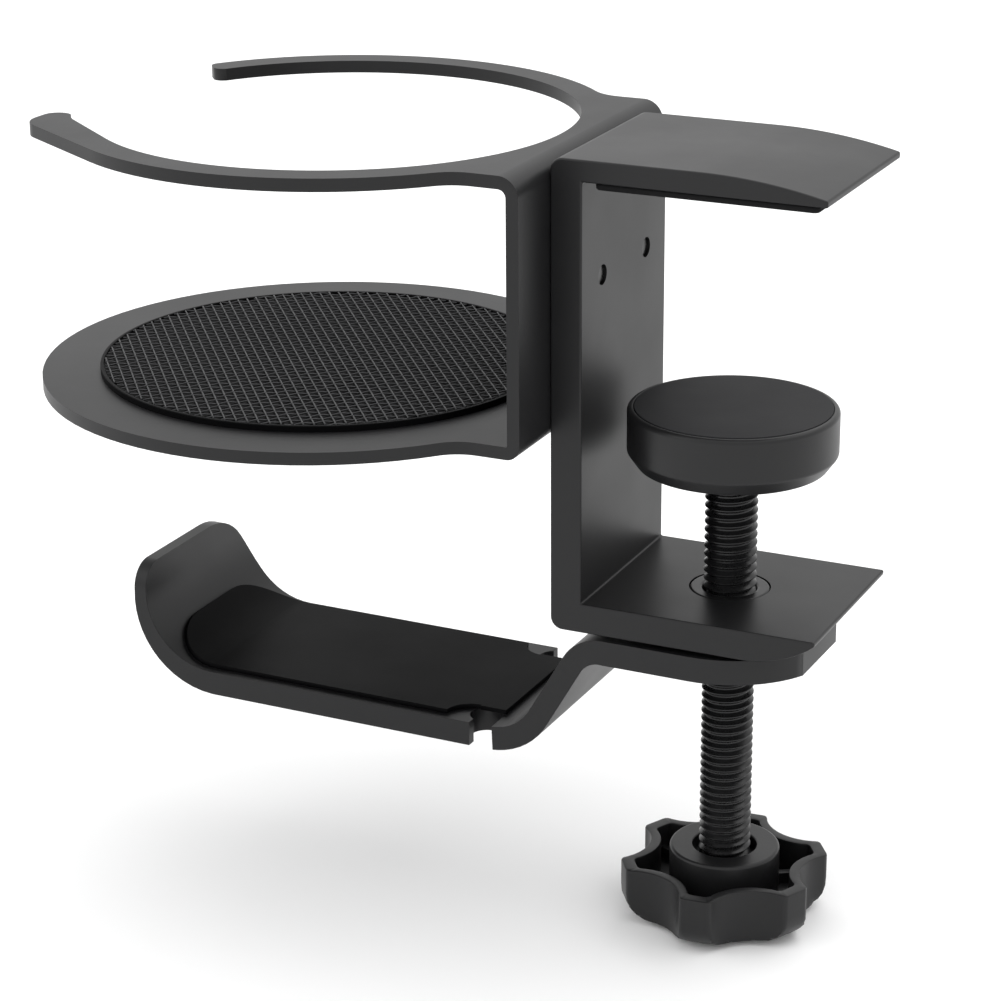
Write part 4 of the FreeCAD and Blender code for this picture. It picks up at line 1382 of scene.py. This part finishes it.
@dataclass
class ClampScrew:
    """M8 screw with its real thread, a turned collar and a riveted spigot."""

    pitch: float = 1.25
    flank_foot: float = 0.15        # profile marks, as shares of the pitch
    crest_foot: float = 0.52
    crest_head: float = 0.63
    crest: float = 3.88
    root: float = 3.3
    steps: int = 32
    thread_top: float = -43.6
    collar: float = 2.0
    collar_top: float = -41.85
    spigot: float = 1.75
    rivet_foot: float = -36.95
    chamfer: float = 0.6

    def build(self) -> None:
        """Cut the thread and turn the collar."""
        low, high = corners_mm("clamp_screw")
        bm = bmesh.new()
        self.thread(bm, low.z)
        lathe(bm, [(0, self.thread_top - 1), (self.collar, self.thread_top - 1),
                   (self.collar, self.collar_top), (self.spigot, self.collar_top),
                   (self.spigot, self.rivet_foot), (self.collar, self.rivet_foot),
                   (self.collar, high.z), (0, high.z)], 48, [((self.collar, high.z), 0.3)])
        finish_piece("clamp-screw", bm, Body.SCREW, BLACK_OXIDE,
                     ["clamp_screw"])

    def thread(self, bm: bmesh.types.BMesh, foot: float) -> None:
        """Spin one pitch of the thread's profile up the screw, then cut and cap its ends.

        Args:
            bm: Mesh that receives the thread.
            foot: Height of the screw's lower end.
        """
        part = bmesh.new()
        pitch, start = self.pitch, foot - 2 * self.pitch
        pen = Pen(part, Plane.SIDE, (self.root, start))
        pen.line((self.root, start + self.flank_foot * pitch),
                 (self.crest, start + self.crest_foot * pitch),
                 (self.crest, start + self.crest_head * pitch), (self.root, start + pitch))
        turns = math.ceil((self.thread_top - foot) / pitch) + 3
        bmesh.ops.spin(part, geom=part.verts[:] + part.edges[:], cent=(0, 0, 0),
                       axis=(0, 0, 1), dvec=(0, 0, pitch / self.steps),
                       angle=2 * math.pi * turns, steps=self.steps * turns,
                       use_duplicate=False)
        bmesh.ops.remove_doubles(part, verts=part.verts, dist=1e-3)
        for level, way in ((foot, -1), (self.thread_top, 1)):
            bmesh.ops.bisect_plane(part, geom=part.verts[:] + part.edges[:] + part.faces[:],
                                   dist=1e-5, plane_co=(0, 0, level), plane_no=(0, 0, way),
                                   clear_outer=True)
            rim = [e for e in part.edges if e.is_boundary
                   and all(abs(v.co.z - level) < 1e-3 for v in e.verts)]
            bmesh.ops.holes_fill(part, edges=rim, sides=0)
        for vert in part.verts:
            inside = min(self.thread_top - vert.co.z, vert.co.z - foot)
            limit = self.crest - self.chamfer + max(0.0, inside)
            reach = math.hypot(vert.co.x, vert.co.y)
            if reach > limit:
                vert.co.x *= limit / reach
                vert.co.y *= limit / reach
        bmesh.ops.recalc_face_normals(part, faces=part.faces)
        join(bm, part)


@dataclass
class PressurePad:
    """Moulded plate that swivels on the screw's ball, with a rubber face."""

    chamfer: float = 1.5
    chamfer_tall: float = 2.1
    recess: float = 14.4
    face_gap: float = 0.05
    socket: float = 3.28
    socket_height: float = -39.4
    split_height: float = -38.6
    neck: float = 2.6
    flare: float = 3.2

    def build(self) -> None:
        """Make the plate and its face, and dress the parts of its ball joint."""
        low, high = corners_mm("pressure_pad")
        face_low, face_high = corners_mm("pressure_pad_face")
        cap = corners_mm("socket_cap")[1].x
        split = math.sqrt(self.socket ** 2 - (self.split_height - self.socket_height) ** 2)
        throat = self.socket_height - math.sqrt(self.socket ** 2 - self.neck ** 2)
        bm = bmesh.new()
        lathe(bm, [(self.neck, throat), (self.flare, low.z), (high.x - self.chamfer, low.z),
                   (high.x, low.z + self.chamfer_tall), (high.x, high.z),
                   (self.recess, high.z), (self.recess, face_low.z), (cap, face_low.z),
                   (cap, self.split_height), (split, self.split_height),
                   (self.socket, self.socket_height)], 128,
              [((high.x - self.chamfer, low.z), 0.4), ((high.x, low.z + self.chamfer_tall), 0.8),
               ((high.x, high.z), 0.7), ((self.recess, high.z), 0.12)])
        finish_piece("pressure-pad", bm, Body.PLATE, MOULDED_NYLON,
                     ["pressure_pad"])
        bm = bmesh.new()
        rim = self.recess - self.face_gap
        lathe(bm, [(0, face_low.z), (rim, face_low.z), (rim, face_high.z), (0, face_high.z)],
              128, [((rim, face_high.z), 0.15)])
        face = finish_piece("pressure-pad-face", bm, Body.PLATE, GROUND_SILICONE,
                            ["pressure_pad_face"])
        dress("socket_cap", MOULDED_NYLON)
        dress("pivot_ball", TURNED_STEEL)


@dataclass
class StarKnob:
    """Hollow six-lobed knob with a hub, ribs, and a cover over its nut."""

    turned: float = 34.5
    lobes: int = 6
    radius: float = 15.75
    lobe_half: float = 8.6
    scallop: float = 7.6
    top: float = -105.4
    hollow: float = 13.7
    hollow_half: float = 6.5
    hollow_scallop: float = 7.9
    floor: float = -110.6
    hub: float = 8.3
    recess: float = 4.85
    recess_deep: float = 2.0
    bore: float = 3.9
    rib: float = 1.3
    rib_top: float = -108.8
    rib_root: float = 0.5
    belly_wide: float = 4.8
    belly_tall: float = 4.6
    belly_levels: tuple[float, ...] = (0.12, 0.28, 0.46, 0.7, 1.0)
    overlap: float = 0.3
    cover_gap: float = 0.1
    edge: float = 0.3
    soft: float = 0.9

    def build(self) -> None:
        """Mould the knob, turn its cover, and dress its nut."""
        low, high = corners_mm("star_knob")
        cover_low, cover_high = corners_mm("knob_cover")
        bm = bmesh.new()
        self.cup(bm, low.z, cover_high.x + self.cover_gap, cover_high.z)
        recess_floor = high.z - self.recess_deep
        lathe(bm, [(self.bore, self.floor - self.overlap),
                   (self.hub, self.floor - self.overlap),
                   (self.hub, high.z), (self.recess, high.z), (self.recess, recess_floor),
                   (self.bore, recess_floor)], 72,
              [((self.hub, high.z), 0.5), ((self.recess, high.z), 0.25)])
        for lobe in range(self.lobes):
            self.add_rib(bm, lobe * 360 / self.lobes)
        bmesh.ops.rotate(bm, verts=bm.verts, cent=(0, 0, 0),
                         matrix=Matrix.Rotation(math.radians(self.turned), 3, "Z"))
        finish_piece("star-knob", bm, Body.SCREW, MOULDED_NYLON, ["star_knob"])
        bm = bmesh.new()
        lathe(bm, [(0, cover_low.z), (cover_high.x, cover_low.z), (cover_high.x, cover_high.z),
                   (0, cover_high.z)], 96, [((cover_high.x, cover_low.z), 0.3)])
        finish_piece("knob-cover", bm, Body.SCREW, MOULDED_NYLON,
                     ["knob_cover"])
        dress("knob_nut", TURNED_STEEL)

    def cup(self, bm: bmesh.types.BMesh, foot: float, seat: float, seat_top: float) -> None:
        """The knob's outside, rim and hollow, from one loop of edges.

        Args:
            bm: Mesh that receives the cup.
            foot: Height of its underside.
            seat: Radius of the seat for the cover.
            seat_top: Height of that seat.
        """
        part = bmesh.new()
        loop = star_outline(part, self.lobes, self.radius, self.lobe_half, self.scallop, foot,
                            self.soft)
        first = loop
        for share in self.belly_levels:
            loop = raise_loop(part, loop, foot + share * self.belly_tall)
        loop = raise_loop(part, loop, self.top)
        sweep = (self.belly_wide ** 2 + self.belly_tall ** 2) / (2 * self.belly_wide)
        for vert in part.verts:
            drop = foot + self.belly_tall - vert.co.z
            if drop <= 1e-6:
                continue
            limit = self.radius - sweep + math.sqrt(max(0.0, sweep ** 2 - drop ** 2))
            reach = math.hypot(vert.co.x, vert.co.y)
            if reach > limit:
                vert.co.x *= limit / reach
                vert.co.y *= limit / reach
        inner = star_outline(part, self.lobes, self.hollow, self.hollow_half,
                             self.hollow_scallop, self.top, self.soft)
        bmesh.ops.bridge_loops(part, edges=loop + inner)
        floor = raise_loop(part, inner, self.floor)
        bmesh.ops.contextual_create(part, geom=floor)
        rim = circle_edges(part, Vector((0, 0, foot)), seat, steps=72)
        bmesh.ops.bridge_loops(part, edges=first + rim)
        lid = raise_loop(part, rim, seat_top)
        bmesh.ops.contextual_create(part, geom=lid)
        bmesh.ops.recalc_face_normals(part, faces=part.faces)
        ease_edges(part, self.edge, 2, lambda edge: all(
            abs(v.co.z - self.top) < 1e-4 for v in edge.verts), above=60)
        join(bm, part)

    def add_rib(self, bm: bmesh.types.BMesh, angle: float) -> None:
        """Add one rib from the hub to a lobe's inner wall.

        Args:
            bm: Mesh that receives the rib.
            angle: Direction of the lobe, in degrees.
        """
        part = bmesh.new()
        bmesh.ops.create_cube(part, size=1.0)
        start, end = self.hub - self.rib_root, self.hollow + self.overlap
        foot = self.floor - self.overlap
        bmesh.ops.scale(part, verts=part.verts,
                        vec=(end - start, self.rib, self.rib_top - foot))
        bmesh.ops.translate(part, verts=part.verts,
                            vec=((start + end) / 2, 0, (foot + self.rib_top) / 2))
        ease_edges(part, 0.2, 2)
        bmesh.ops.rotate(part, verts=part.verts, cent=(0, 0, 0),
                         matrix=Matrix.Rotation(math.radians(angle), 3, "Z"))
        join(bm, part)


def dress(node: str, finish: Finish) -> None:
    """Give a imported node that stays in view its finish.

    Args:
        node: Name of the node.
        finish: Its finish.
    """
    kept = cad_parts[node]
    kept.data.materials.clear()
    kept.data.materials.append(finish.material())
    LOG.info("%s: packed shape with finish %s", node, finish.title)


# ---------------------------------------------------------------- studio


@dataclass
class Studio:
    """Pale floor, soft light all round, and the camera."""

    floor_size: float = 4.0
    light_from_above: float = 5.0
    light_from_side: float = 1.5
    sky: float = 1.1
    camera_spot: tuple[float, float, float] = (0.144108, -0.384422, 0.102393)
    camera_back: tuple[float, float, float] = (0.400179, -0.849176, 0.344611)
    camera_roll: float = -0.414
    lens: float = 108.16

    def build(self, low: Vector) -> None:
        """Set up the studio.

        Args:
            low: Lowest corner of the object.
        """
        bm = bmesh.new()
        bmesh.ops.create_grid(bm, x_segments=1, y_segments=1, size=self.floor_size / 2)
        bmesh.ops.translate(bm, verts=bm.verts, vec=(0, 0, low.z - 0.0005))
        mesh = bpy.data.meshes.new("floor")
        bm.to_mesh(mesh)
        bm.free()
        floor = bpy.data.objects.new("floor", mesh)
        bpy.context.scene.collection.objects.link(floor)
        paper = bpy.data.materials.new("white background paper")
        paper.use_nodes = True
        shader = paper.node_tree.nodes["Principled BSDF"]
        shader.inputs["Base Color"].default_value = linear("#fafafa")
        shader.inputs["Roughness"].default_value = 0.9
        mesh.materials.append(paper)
        floor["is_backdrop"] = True
        self.lamp("overhead softbox", self.light_from_above, 1.2, Vector((0.1, 0.25, 0.9)))
        self.lamp("side softbox", self.light_from_side, 0.7, Vector((-0.7, -0.5, 0.45)))
        world = bpy.data.worlds.new("studio")
        world.use_nodes = True
        sky = world.node_tree.nodes["Background"]
        sky.inputs["Color"].default_value = linear("#ffffff")
        sky.inputs["Strength"].default_value = self.sky
        bpy.context.scene.world = world
        bpy.context.scene.view_settings.view_transform = "Standard"
        self.camera()

    def lamp(self, name: str, power: float, size: float, spot: Vector) -> None:
        """Hang a square softbox that faces the object.

        Args:
            name: Name of the light.
            power: Power in watts.
            size: Side of the softbox in metres.
            spot: Its place.
        """
        light = bpy.data.lights.new(name, "AREA")
        light.energy = power
        light.size = size
        lamp = bpy.data.objects.new(name, light)
        lamp.location = spot
        aim = Vector((-0.03, 0.0, -0.05)) - spot
        lamp.rotation_euler = aim.to_track_quat("-Z", "Y").to_euler()
        bpy.context.scene.collection.objects.link(lamp)

    def camera(self) -> None:
        """Stand the camera at its place, level but for a small roll."""
        back = Vector(self.camera_back).normalized()
        level = Vector((0, 0, 1)).cross(back).normalized()
        turn = Matrix((level, back.cross(level), back)).transposed().to_4x4()
        roll = Matrix.Rotation(math.radians(self.camera_roll), 4, "Z")
        lens = bpy.data.cameras.new("camera")
        lens.lens = self.lens
        lens.sensor_width = 36.0
        lens.clip_start = 0.01
        camera = bpy.data.objects.new("camera", lens)
        camera.matrix_world = Matrix.Translation(self.camera_spot) @ turn @ roll
        bpy.context.scene.collection.objects.link(camera)
        bpy.context.scene.camera = camera


def main() -> None:
    """Build every sub-assembly in order, then the studio."""
    logging.basicConfig(level=logging.INFO, format="%(name)s: %(message)s")
    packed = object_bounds()
    for assembly in (ClampFrame(), JawPad(), CupBracket(), BracketScrews(), CupMat(), Swivel(),
                     HeadphoneHook(), ClampScrew(), PressurePad(), StarKnob()):
        assembly.build()
    Studio().build(packed[0])


if __name__ == "__main__":
    main()
